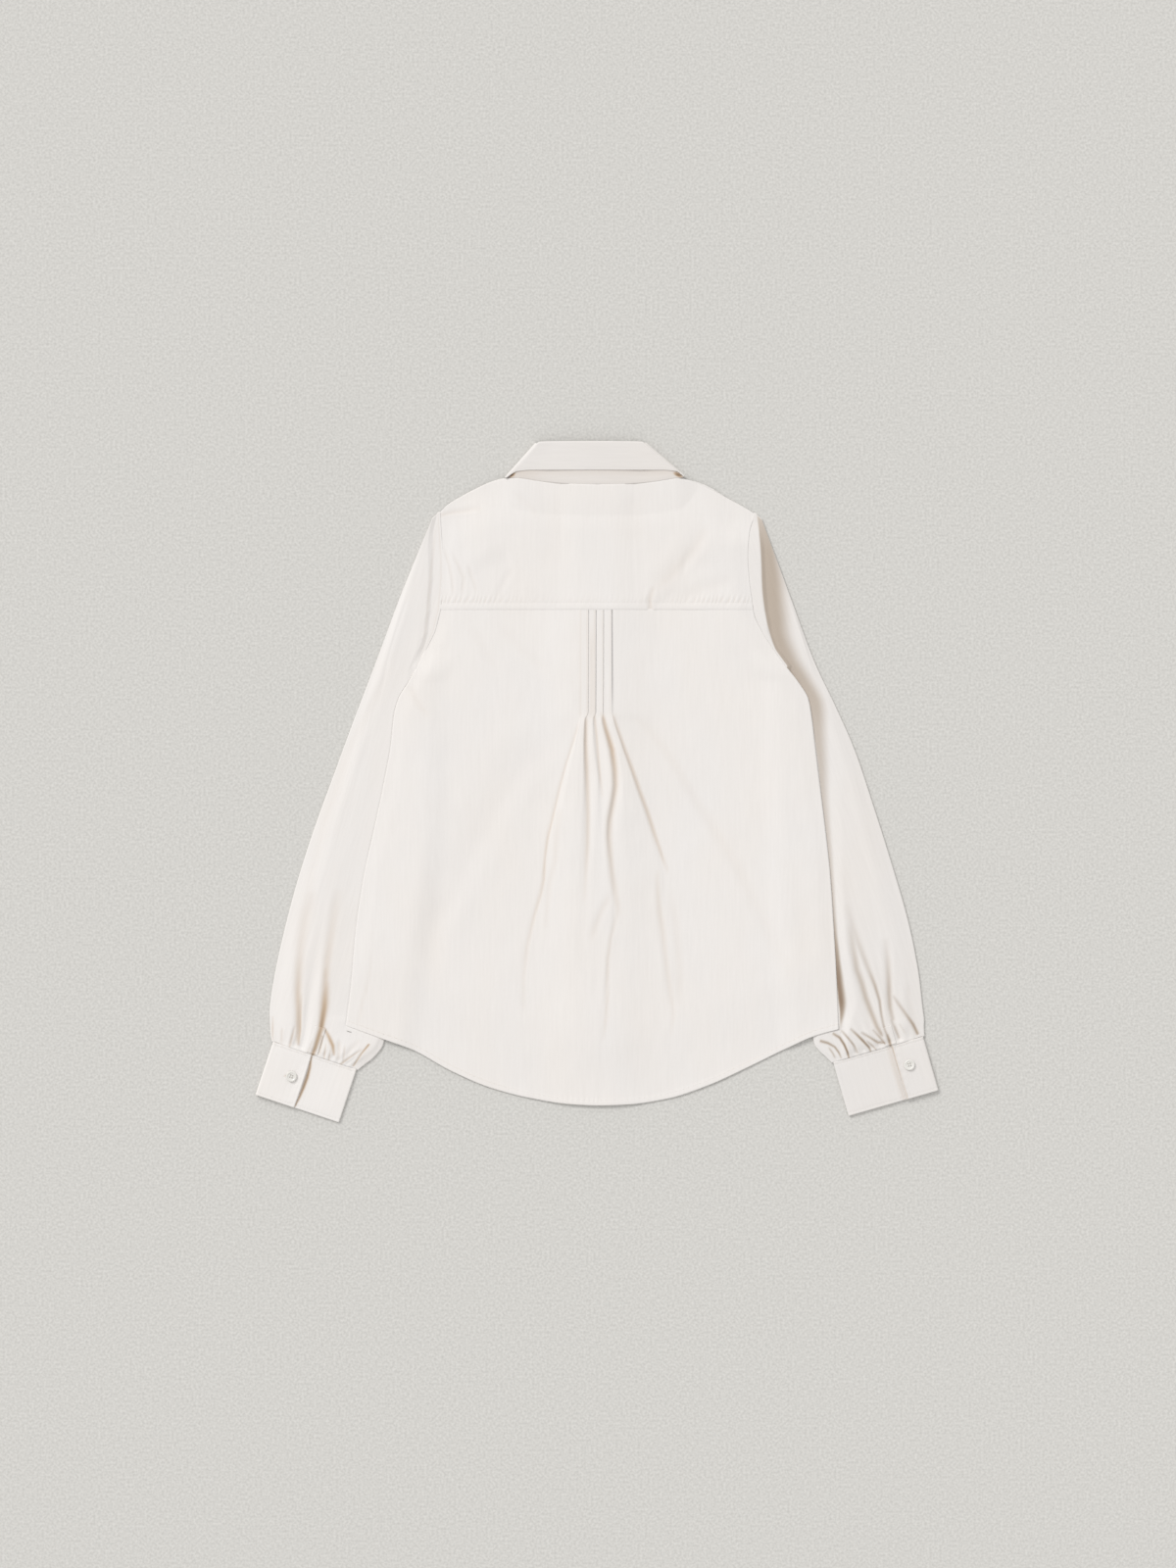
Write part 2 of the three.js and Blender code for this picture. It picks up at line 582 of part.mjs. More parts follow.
function backPanel() {
  const seamY = YOKE_SEAM_Y - SEAM_GAP / 2;
  const levels = FAN_Y.map((y, i) => ({ level: y, i }));
  const lineOf = (line, column) =>
    through(
      levels.map(({ level, i }) => ({ level, value: line[column][i] })),
      "level",
      "value",
    );
  const lines = FAN.map((line) => ({
    x: lineOf(line, "x"),
    rise: lineOf(line, "rise"),
  }));
  const first = lines[0];
  const last = lines[lines.length - 1];
  const outwards = [0.07, 0.17, 0.3, 0.43, 0.57, 0.72, 0.86, 0.94, 0.98, 1];
  const rowHeights = [
    184, ...ARMHOLE_BELOW, 78, 72, 66, 56, 39, 20, -3, -30, -56, -82, -108, -134, -161, -187, -213, -244,
    -276, -310, -340, -348,
  ];
  const lowest = rowHeights[rowHeights.length - 1];
  const place = (level, x) => {
    if (level >= LEVEL_ROWS_END) return Math.min(level, seamY);
    const share = (LEVEL_ROWS_END - level) / (LEVEL_ROWS_END - lowest);
    return lerp(LEVEL_ROWS_END, hemAt(x), share);
  };
  const rowOf = (level) => {
    const row = [];
    const add = (x, rise) => {
      const y = place(level, x);
      const fade = step(0, 14, insideEdge(x, y));
      row.push({ x, y, rise: rise + softTroughs(x, y) * fade });
    };
    const edgeX = (side, level) => {
      const sign = side === "left" ? -1 : 1;
      let x = sign * edgeAt[side](level);
      for (let i = 0; i < 4; i += 1) x = sign * edgeAt[side](place(level, x));
      return x;
    };
    const leftX = edgeX("left", level);
    const rightX = edgeX("right", level);
    const fanLeft = first.x(level);
    const fanRight = last.x(level);
    const leftRise = first.rise(level);
    const rightRise = last.rise(level);
    for (const share of [...outwards].reverse()) {
      add(lerp(fanLeft, leftX, share), leftRise * step(0.25, 0, share));
    }
    for (const line of lines) add(line.x(level), line.rise(level));
    for (const share of outwards) {
      add(lerp(fanRight, rightX, share), rightRise * step(0.25, 0, share));
    }
    return row;
  };
  const rows = rowHeights.map(rowOf);
  const band = (x, y) => (y - hemAt(x) < HEM_BAND.width + 1 ? HEM_BAND.raise : 0);
  const tuckZone = (y) => step(66, 74, y);
  const high = rows.map((row) =>
    row.map(({ x, y, rise }) => [x, y, backHigh(x, y) + rise + band(x, y)]),
  );
  const low = rows.map((row) =>
    row.map(({ x, y, rise }) => [
      x,
      y,
      backLow(x, y) + lerp(rise, 0, tuckZone(y)),
    ]),
  );
  return wallBetween(high, low);
}

// One front, from the opening out to the armhole and side seam
function front(side) {
  const sign = side === "left" ? -1 : 1;
  const straight = 34;
  const shared = [straight, 45, 57, 70, 80, 87, 92, 99, 118, 136, 154, 171];
  const tops = side === "left"
    ? [-PLACKET.halfWidth, -4, 8, LAP_STEP.to, 20, LAP_STEP.from, ...shared]
    : [PLACKET.halfWidth + SEAM_GAP, 20, ...shared];
  const tipX = shared[shared.length - 1];
  const tipY = SHOULDER_TIP_Y[side];
  const cornerY = hemAt(sign * edgeAt[side](-264)) + FRONT_HEM_SHORTER;
  const rows = [...armholeLevels(side), 84, 62, 40, 0, -50, -105, -160, -215, cornerY];
  const pointAt = (top, level) => {
    const outX = (atLevel) =>
      top <= straight ? top : lerp(straight, edgeAt[side](atLevel), (top - straight) / (tipX - straight));
    const topY = top === tipX ? tipY : frontTopAt(Math.abs(top));
    const endY = hemAt(sign * outX(cornerY)) + FRONT_HEM_SHORTER;
    return [sign * outX(level), lerp(topY, endY, (tipY - level) / (tipY - cornerY))];
  };
  const lap = (x) => (side === "left" ? lapRise(x, LAP_STEP.from) : 0);
  const bottom = (x, y) => frontLow(x, y) + lap(x);
  const top = (x, y) => bottom(x, y) + CLOTH;
  return panelBetween(top, bottom, pointAt, rows, tops);
}

function frontPlacket() {
  const half = PLACKET.halfWidth;
  const rows = spread(12);
  const pointAt = (u, v) => {
    const x = lerp(-half, half, u);
    return [x, lerp(frontTopAt(Math.abs(x)), hemAt(x) + FRONT_HEM_SHORTER, v)];
  };
  const top = () => PLACKET.lift + CLOTH;
  const bottom = () => PLACKET.lift;
  return panelBetween(top, bottom, pointAt, rows, spread(3));
}

// Sleeves: flattened tubes whose sections swing round from the armhole to the cuff.
// On each section, a runs from the outer edge to the body's edge and b from there to the hidden inner edge.

const towards = ([ax, ay], [bx, by], t) => [lerp(ax, bx, t), lerp(ay, by, t)];
const apart = ([ax, ay], [bx, by]) => Math.hypot(bx - ax, by - ay);

function sleeveSections(side) {
  const sign = side === "left" ? -1 : 1;
  const levels = armholeLevels(side);
  const lastOuter = levels.length - 2;
  const seamPoints = levels.map((y) => [sign * (edgeAt[side](y) + SEAM_GAP + 0.1), y]);
  const seamAt = (a, b) => {
    if (b > 0) return towards(seamPoints[lastOuter], seamPoints[lastOuter + 1], b);
    const i = Math.min(lastOuter - 1, Math.floor(a * lastOuter));
    return towards(seamPoints[i], seamPoints[i + 1], a * lastOuter - i);
  };
  const chordAt = (a) => towards(seamPoints[0], seamPoints[lastOuter], a);
  const alongArmhole = (a, b) => (a + b * 0.15) / 1.15;
  const seam = {
    place: seamAt,
    high: (a, b) => backHigh(...seamAt(a, b)),
    low: (a, b) => frontLow(...seamAt(a, b)),
  };
  const roll = {
    place: (a, b) => {
      const [x, y] = seamAt(a, b);
      return [x + sign * rollAt[side](y), y - 2.5 * (1 - alongArmhole(a, b))];
    },
    high: (a, b) => backHigh(...seamAt(a, b)) + 0.2,
    low: (a, b) => 0.5 * frontLow(...seamAt(a, b)),
  };
  const foot = {
    place: (a, b) => {
      const [x, y] = roll.place(a, b);
      return [x + sign * ROLL_FOOT.out, y - 4 * (1 - alongArmhole(a, b))];
    },
    high: () => ROLL_FOOT[side],
    low: () => 0,
    underBody: true,
  };
  const body = SLEEVE_SECTIONS[side].map((section, index) => {
    const outer = [sign * section.outerX, section.outerY];
    const edge = [sign * section.edgeX, section.edgeY];
    const inner = [sign * section.innerX, section.innerY];
    return {
      place: (a, b) => {
        if (b > 0) return towards(edge, inner, b);
        const [seamX, seamY] = seamAt(a, 0);
        const [chordX, chordY] = chordAt(a);
        const [x, y] = towards(outer, edge, a);
        return [x + (seamX - chordX) * section.bend, y + (seamY - chordY) * section.bend];
      },
      high: () => section.high,
      low: () => 0,
      underBody: index <= LAST_SECTION_UNDER_BODY,
    };
  });
  const { x, y, width, turn } = CUFFS[side];
  const angle = THREE.MathUtils.degToRad(turn);
  const corner = (reach) => [
    x - sign * reach * Math.cos(angle) - SEAM_GAP * Math.sin(angle),
    y - sign * reach * Math.sin(angle) + SEAM_GAP * Math.cos(angle),
  ];
  const bend = 0.79;
  const end = {
    place: (a, b) => corner(width * (b > 0 ? lerp(bend, 1, b) : a * bend)),
    high: () => 4.4,
    low: () => 0,
  };
  return { rolled: [seam, roll], flat: [foot, ...body, end] };
}

function sleeveHeight(side, section, a, b, outerLength, hiddenLength, fromCuff) {
  const along = a * outerLength + b * hiddenLength;
  const length = outerLength + hiddenLength;
  const farEnd = section.underBody ? outerLength : length;
  const rise = Math.min(step(0, 16, along), step(0, 14, farEnd - along));
  const trough = SLEEVE_TROUGHS[side];
  let drop = trough.depth * bell(along - trough.in, trough.width);
  for (const gather of GATHERS[side]) {
    const climb = clamp01(fromCuff / gather.reach);
    const centre = (gather.at + gather.drift * climb) * length;
    const width = gather.width * lerp(1, 2.2, climb);
    drop += gather.depth * (1 - climb) ** 1.3 * bell(along - centre, width);
  }
  const full = section.high(a, b) - SLEEVE_UNDER_BODY;
  return SLEEVE_UNDER_BODY + Math.max(0, full - drop) * rise;
}

function sleeveLoops(side) {
  const { rolled, flat } = sleeveSections(side);
  const sections = [...rolled, ...flat];
  const cuffMiddle = sections[sections.length - 1].place(0.5, 0);
  const outer = [];
  const inner = [];
  for (const section of sections) {
    const outerLength = apart(section.place(0, 0), section.place(1, 0));
    const hiddenLength = apart(section.place(1, 0), section.place(1, 1));
    const fromCuff = apart(section.place(0.5, 0), cuffMiddle);
    const nearEnd = [FOLD_INSET / outerLength, 0];
    const farEnd = [1, 1 - FOLD_INSET / hiddenLength];
    const outerShares = spread(SLEEVE_COLUMNS.outer + 1).slice(1);
    const hiddenShares = spread(SLEEVE_COLUMNS.hidden + 1).slice(1, -1);
    const topShares = [nearEnd, ...outerShares.map((a) => [a, 0]), ...hiddenShares.map((b) => [1, b]), farEnd];
    const underShares = [nearEnd, ...spread(armholeLevels(side).length - 1).slice(1).map((a) => [a, 0]), farEnd];
    const topAt = ([a, b]) => {
      const high = rolled.includes(section)
        ? section.high(a, b)
        : sleeveHeight(side, section, a, b, outerLength, hiddenLength, fromCuff);
      return [...section.place(a, b), high];
    };
    const underAt = ([a, b]) => [...section.place(a, b), section.low(a, b)];
    const foldAt = (shares, tip, angles) => {
      const [x, y, high] = topAt(shares);
      const low = underAt(shares)[2];
      const size = apart([x, y], tip);
      const way = [(tip[0] - x) / size, (tip[1] - y) / size];
      const arc = (radius, out) =>
        angles.map(THREE.MathUtils.degToRad).map((angle) => [
          x + way[0] * out * Math.cos(angle),
          y + way[1] * out * Math.cos(angle),
          (high + low) / 2 + radius * Math.sin(angle),
        ]);
      const radius = (high - low) / 2;
      return { outer: arc(radius, FOLD_INSET), inner: arc(radius - CLOTH, FOLD_INSET - CLOTH) };
    };
    const far = foldAt(farEnd, section.place(1, 1), FOLD_ANGLES);
    const near = foldAt(nearEnd, section.place(0, 0), [...FOLD_ANGLES].reverse());
    const tops = topShares.map(topAt);
    const unders = [...underShares].reverse().map(underAt);
    const moved = (points, by) => points.map(([x, y, z]) => [x, y, z + by]);
    outer.push([...tops, ...far.outer, ...unders, ...near.outer]);
    inner.push([...moved(tops, -CLOTH), ...far.inner, ...moved(unders, CLOTH), ...near.inner]);
  }
  return { outer, inner };
}

function sleeve(side) {
  const { outer, inner } = sleeveLoops(side);
  return wallBetween(outer, inner, true);
}

// The bound slit above each cuff lies on the sleeve's own points
function sleevePlacket(side) {
  const { outer } = sleeveLoops(side);
  const { width, lapEnd } = CUFFS[side];
  const columnWidth = (width * 0.79) / SLEEVE_COLUMNS.outer;
  const middle = Math.round(lapEnd / columnWidth);
  const half = Math.round(SLEEVE_PLACKET.width / 2 / columnWidth);
  const rows = outer.slice(-4, -1).map((loop) => loop.slice(middle - half, middle + half + 1));
  const raised = (by) => rows.map((row) => row.map(([x, y, z]) => [x, y, z + by]));
  return wallBetween(raised(LAYER_GAP), raised(LAYER_GAP + CLOTH));
}

// Cuffs: one stiff band that starts under the lap, goes round and ends on top, where it buttons

function cuffGeometry(side, sign) {
  const { width, lapEnd } = CUFFS[side];
  const half = CUFF_CLOTH / 2;
  const layer = CUFF_CLOTH + SEAM_GAP;
  const under = half;
  const middle = half + layer;
  const over = half + 2 * layer;
  const arcSteps = 6;
  const path = [];
  const line = (u, z, nu, nz) => path.push({ u, z, nu, nz });
  const turn = (u, low, high, from, to, out) => {
    const radius = (high - low) / 2;
    for (let i = 0; i <= arcSteps; i += 1) {
      const angle = lerp(from, to, i / arcSteps);
      const nu = out * Math.cos(angle);
      const nz = Math.sin(angle);
      path.push({ u: u + nu * radius, z: (low + high) / 2 + nz * radius, nu, nz });
    }
  };
  const quarter = Math.PI / 2;
  line(lapEnd, over, 0, 1);
  turn(over / 2 + half, under, over, quarter, -quarter, -1);
  turn(width - middle / 2 - half, under, middle, -quarter, quarter, 1);
  line(lapEnd - CUFF_UNDERLAP, middle, 0, 1);
  const outline = [
    ...path.map((p) => [p.u + p.nu * half, p.z + p.nz * half]),
    ...[...path].reverse().map((p) => [p.u - p.nu * half, p.z - p.nz * half]),
  ];
  const shape = new THREE.Shape(outline.map(([u, z]) => new THREE.Vector2(sign * u, z)));
  const geometry = new THREE.ExtrudeGeometry(shape, {
    depth: CUFF_HEIGHT,
    bevelEnabled: false,
  });
  // Stand the section up: across the sleeve is X, the extrusion runs down the sleeve as -Y
  geometry.rotateX(Math.PI / 2);
  return geometry;
}

const LAP_TOP = CUFF_CLOTH * 3 + SEAM_GAP * 2;

function buttonGeometry() {
  const { radius, thick, rim, dish } = BUTTON;
  const profile = [
    [0, 0],
    [radius - 0.6, 0],
    [radius, 0.6],
    [radius, thick - 0.4],
    [radius - 0.4, thick],
    [radius - rim, thick],
    [radius - rim - 0.5, thick - dish],
    [0, thick - dish],
  ];
  const points = profile.map(([r, z]) => new THREE.Vector2(r, z));
  return new THREE.LatheGeometry(points, BUTTON_SEGMENTS).rotateX(Math.PI / 2);
}

// Collar

// The front's neck edge, moved out along its normal by the seam gap
function neckPoint(x) {
  const slope = (frontTopAt(x + 1) - frontTopAt(x - 1)) / 2;
  const size = Math.hypot(1, slope);
  const gap = SEAM_GAP + 0.1;
  return [x - (gap * slope) / size, frontTopAt(x) + gap / size];
}

// One half of the collar as rows of points, with the way that its outside faces
function collarHalf(sign) {
  const backZ = (x) => backHigh(sign * x, yokeTopAt(sign * x)) - CLOTH / 2 + YOKE_RAISE / 2;
  const back = COLLAR_BACK.map((row) => {
    const z = backZ(row.seamX);
    return {
      seam: [row.seamX, yokeTopAt(sign * row.seamX) + SEAM_GAP, z],
      roll: [row.rollX + sign * BACK_ROLL_SHIFT, row.rollY, z + 0.3],
      edge: [row.edgeX, row.edgeY, z + row.edgeLift],
      out: [0, 0, 1],
      share: STAND_SHARE.back,
    };
  });
  const { seam, angles } = COLLAR_TURN;
  const { roll, edge } = COLLAR_TURN[sign < 0 ? "left" : "right"];
  const size = Math.hypot(roll.x - seam.x, roll.y - seam.y);
  const outX = (roll.y - seam.y) / size;
  const outY = (seam.x - roll.x) / size;
  const topZ = backZ(seam.x);
  const middleZ = (topZ + COLLAR_FRONT_Z) / 2;
  const radius = (topZ - COLLAR_FRONT_Z) / 2;
  const turned = angles.map((degrees) => {
    const angle = THREE.MathUtils.degToRad(degrees);
    const out = [outX * Math.cos(angle), outY * Math.cos(angle), Math.sin(angle)];
    const at = ({ x, y }, by) => [x + out[0] * by, y + out[1] * by, middleZ + out[2] * by];
    return {
      seam: at(seam, radius),
      roll: at(roll, radius),
      edge: at(edge, radius + LEAF_OFFSET),
      out,
      share: lerp(STAND_SHARE.front, STAND_SHARE.back, (degrees + 90) / 180),
    };
  });
  const flat = COLLAR_FRONT.map((row) => ({
    seam: [...neckPoint(row.seamX), COLLAR_FRONT_Z],
    roll: [row.rollX, row.rollY, COLLAR_FRONT_Z],
    edge: [row.edgeX, row.edgeY, COLLAR_FRONT_Z - LEAF_OFFSET],
    out: [0, 0, -1],
    share: STAND_SHARE.front,
  }));
  return [...back, ...turned, ...flat].map((row) => {
    const turn = ([x, y, z]) => [sign * x, y, z];
    return {
      seam: turn(row.seam),
      roll: turn(row.roll),
      edge: turn(row.edge),
      out: turn(row.out),
      share: row.share,
    };
  });
}

const collarRows = () => [...collarHalf(-1).slice(1).reverse(), ...collarHalf(1)];
const mix = (a, b, t) => a.map((value, axis) => lerp(value, b[axis], t));

function collarStand() {
  const endRow = (x, z) => ({
    seam: [x, 250.4, z],
    roll: [x * 0.9, 276.5, z],
    share: STAND_SHARE.front,
  });
  const { reach, overZ, underZ } = STAND_END;
  const rows = [
    endRow(reach, overZ),
    endRow(-8, overZ),
    ...collarRows(),
    endRow(8, underZ),
    endRow(-reach, underZ),
  ];
  const grid = rows.map((row) => spread(4).map((t) => mix(row.seam, row.roll, row.share * t)));
  return wallAround(grid, CLOTH);
}

function collarLeaf() {
  const grid = collarRows().map((row) => {
    const away = (point, by) => point.map((value, axis) => value + row.out[axis] * by);
    const rise = new THREE.Vector3(...row.roll)
      .sub(new THREE.Vector3(...row.seam))
      .normalize()
      .toArray();
    const underRoll = row.roll.map((value, axis) => value - rise[axis] * 1.2);
    const overRoll = away(underRoll, LEAF_OFFSET);
    return [
      mix(row.seam, row.roll, row.share + 0.02),
      underRoll,
      away(row.roll, LEAF_OFFSET / 2),
      overRoll,
      mix(overRoll, row.edge, 0.35),
      mix(overRoll, row.edge, 0.7),
      row.edge,
    ];
  });
  return wallAround(grid, CLOTH);
}

// The blouse

const cloth = new THREE.MeshStandardMaterial({
  color: IVORY,
  roughness: 0.78,
  metalness: 0,
});
const facedCloth = new THREE.MeshStandardMaterial({
  color: IVORY_SHADE,
  roughness: 0.74,
  metalness: 0,
});
const buttonShell = new THREE.MeshStandardMaterial({
  color: SHELL,
  roughness: 0.3,
  metalness: 0,
});

const blouse = new THREE.Group();

function add(name, geometry, material, parent = blouse) {
  const mesh = new THREE.Mesh(geometry, material);
  mesh.name = name;
  parent.add(mesh);
  return mesh;
}

add("back_yoke", backYoke(), cloth);
add("back_panel", backPanel(), cloth);
add("front_left", front("left"), cloth);
add("front_right", front("right"), cloth);
add("front_placket", frontPlacket(), facedCloth);
add("collar_stand", collarStand(), facedCloth);
add("collar_leaf", collarLeaf(), facedCloth);

for (const side of ["left", "right"]) {
  add(`sleeve_${side}`, sleeve(side), cloth);
  add(`sleeve_placket_${side}`, sleevePlacket(side), facedCloth);
  const { x, y, turn, lapEnd } = CUFFS[side];
  const sign = side === "left" ? 1 : -1;
  const group = new THREE.Group();
  group.position.set(x, y, 0);
  group.rotation.z = THREE.MathUtils.degToRad(turn);
  blouse.add(group);
  add(`cuff_${side}`, cuffGeometry(side, sign), facedCloth, group);
  const button = add(`cuff_button_${side}`, buttonGeometry(), buttonShell, group);
  const acrossBy = lapEnd - CUFF_BUTTON.fromLapEnd;
  button.position.set(sign * acrossBy, -CUFF_BUTTON.down, LAP_TOP + SEAM_GAP);
}

for (let i = 0; i <= FRONT_BUTTONS.count; i += 1) {
  const y = i === 0 ? FRONT_BUTTONS.collarY : FRONT_BUTTONS.first - (i - 1) * FRONT_BUTTONS.pitch;
  const button = add(`front_button_${i + 1}`, buttonGeometry(), buttonShell);
  button.rotation.x = Math.PI;
  button.position.set(0, y, BUTTON.thick);
}

blouse.position.set(TO_FOOTPRINT_MIDDLE.x, TO_FOOTPRINT_MIDDLE.y, 0);

export default blouse;
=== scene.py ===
import math

import bmesh
import bpy
import numpy as np
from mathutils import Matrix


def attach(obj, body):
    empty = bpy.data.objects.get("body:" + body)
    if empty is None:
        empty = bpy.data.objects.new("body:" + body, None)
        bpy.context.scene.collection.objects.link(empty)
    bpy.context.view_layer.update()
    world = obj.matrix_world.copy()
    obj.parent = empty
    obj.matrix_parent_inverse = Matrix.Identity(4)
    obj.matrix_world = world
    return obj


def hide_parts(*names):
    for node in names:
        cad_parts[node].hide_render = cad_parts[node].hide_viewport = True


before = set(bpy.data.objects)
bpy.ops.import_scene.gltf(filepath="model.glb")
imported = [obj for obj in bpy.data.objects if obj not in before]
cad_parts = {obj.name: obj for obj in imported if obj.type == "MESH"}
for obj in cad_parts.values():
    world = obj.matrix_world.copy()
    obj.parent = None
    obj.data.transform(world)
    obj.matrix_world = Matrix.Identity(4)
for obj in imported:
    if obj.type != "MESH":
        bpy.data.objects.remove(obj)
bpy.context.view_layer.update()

# Sizes below are in millimetres and photograph places in pixels; meshes are made in metres.
MM = 0.001
FOOTPRINT = (1.1, 0.9)
PHOTO_SCALE = 1.05
PHOTO_ORIGIN = (609, 797)
PHOTO_MIDDLE = (600, 800)
PHOTO_HEIGHT = 1600
LENS, SENSOR = 85, 36
FOCUS_HEIGHT = 5


# Camera, looking straight down as the photograph does

def make_camera():
    data = bpy.data.cameras.new("photo_camera")
    data.lens, data.sensor_width = LENS, SENSOR
    camera = bpy.data.objects.new("photo_camera", data)
    bpy.context.scene.collection.objects.link(camera)
    distance = LENS / SENSOR * PHOTO_HEIGHT * PHOTO_SCALE
    x = (PHOTO_MIDDLE[0] - PHOTO_ORIGIN[0]) * PHOTO_SCALE + FOOTPRINT[0]
    y = (PHOTO_ORIGIN[1] - PHOTO_MIDDLE[1]) * PHOTO_SCALE + FOOTPRINT[1]
    camera.location = (x * MM, y * MM, (distance + FOCUS_HEIGHT) * MM)
    bpy.context.scene.camera = camera


make_camera()

# Sizes, many of them repeated from the CAD source

SIDES = ("left", "right")
OUTWARD = {"left": -1, "right": 1}
CLOTH = 1.0
SHEER = 0.35
PLY_GAP = 0.08
CUFF_CLOTH = 1.2
SEAM_GAP = 0.3
LAYER_GAP = 0.35
YOKE_SEAM_Y = 184
TIP_Y = {"left": 287.5, "right": 286.5}
TIP_X = {"left": 171.0, "right": 170.5}
YOKE_UNDER_SEAM = 0.6
PANEL_OVER_SEAM = 2.5
UNDERARM_Y = 104
LEVEL_ROWS_END = 60
FRONT_HEM_SHORTER = 5
HEM_DEEP = 6.0
HEM_STITCH_UP = 5.8
YOKE_STITCH_UP = 7.5
CUFF_STITCH_IN = 3.0
PLACKET_STITCH = 12.2
PLACKET_THICK = 0.95
SLEEVE_UNDER_BODY = 2.6
SLEEVE_LIFT = (SLEEVE_UNDER_BODY - 0.1, 44, 14)
COLLAR_LIFT = CLOTH + LAYER_GAP
BUTTON_RADIUS = 5.75
BUTTON_THICK = 2.0
PLACKET_HALF = 15
PLACKET_LIFT = BUTTON_THICK + SEAM_GAP
PLACKET_RUN = 55
LAP_FROM, LAP_TO, LAP_WIDE = 24, 16.5, 60
FRONT_BUTTON_YS = [261] + [205 - 82 * i for i in range(6)]

# Height, half width to the left, half width to the right
BODY_EDGE = [
    (288, 170.0, 170.5), (265, 168.5, 163.5), (240, 166.6, 161.9), (217, 166.5, 163.4), (198, 168.3, 165.8),
    (178, 170.0, 169.0), (160, 175.5, 177.5), (142, 184.5, 189.0), (124, 192.2, 202.0), (104, 203.5, 217.5),
    (88, 213.0, 226.8), (70, 217.8, 230.2), (40, 220.8, 233.8), (0, 228.0, 238.6), (-50, 238.5, 244.8),
    (-100, 249.5, 250.2), (-160, 258.5, 254.2), (-220, 263.8, 257.4), (-266, 270.0, 259.4),
]
ARMHOLE_ROLL = [
    (288, 1.5, 1.5), (265, 7.0, 10.0), (240, 9.0, 13.0), (198, 9.0, 12.0), (178, 8.0, 10.0), (160, 5.0, 5.0),
    (142, 2.0, 2.0), (88, 1.5, 1.5),
]
ARMHOLE_UP_YOKE = [1, 0.8, 0.56, 0.33, 0.14, 0]
ARMHOLE_BELOW = [160, 142, 124, UNDERARM_Y]
HEM = [
    (-270, -262), (-231, -276), (-198, -288), (-156, -311), (-114, -329), (-72, -340), (-30, -346.5),
    (1, -348), (33, -347), (75, -341), (117, -327.5), (159, -308.5), (201, -288), (233, -273.5), (260, -266),
]
YOKE_TOP = [
    (-170, 287.5), (-161.5, 296), (-146, 305.5), (-130, 313.8), (-114.5, 320.8), (-101, 324.3), (-83, 324.8),
    (-67, 322.4), (-41, 319.2), (-1, 318), (38, 318.7), (64, 321.3), (85, 324.4), (99, 322.8), (115.5, 316),
    (125, 311.5), (144, 301.5), (163, 291), (170.5, 286),
]
FRONT_TOP = [
    (0, 249), (20, 251.5), (45, 262), (70, 280), (88, 302), (99, 322.5), (115.5, 318), (133.5, 308),
    (152, 295.5), (171, 285.5),
]

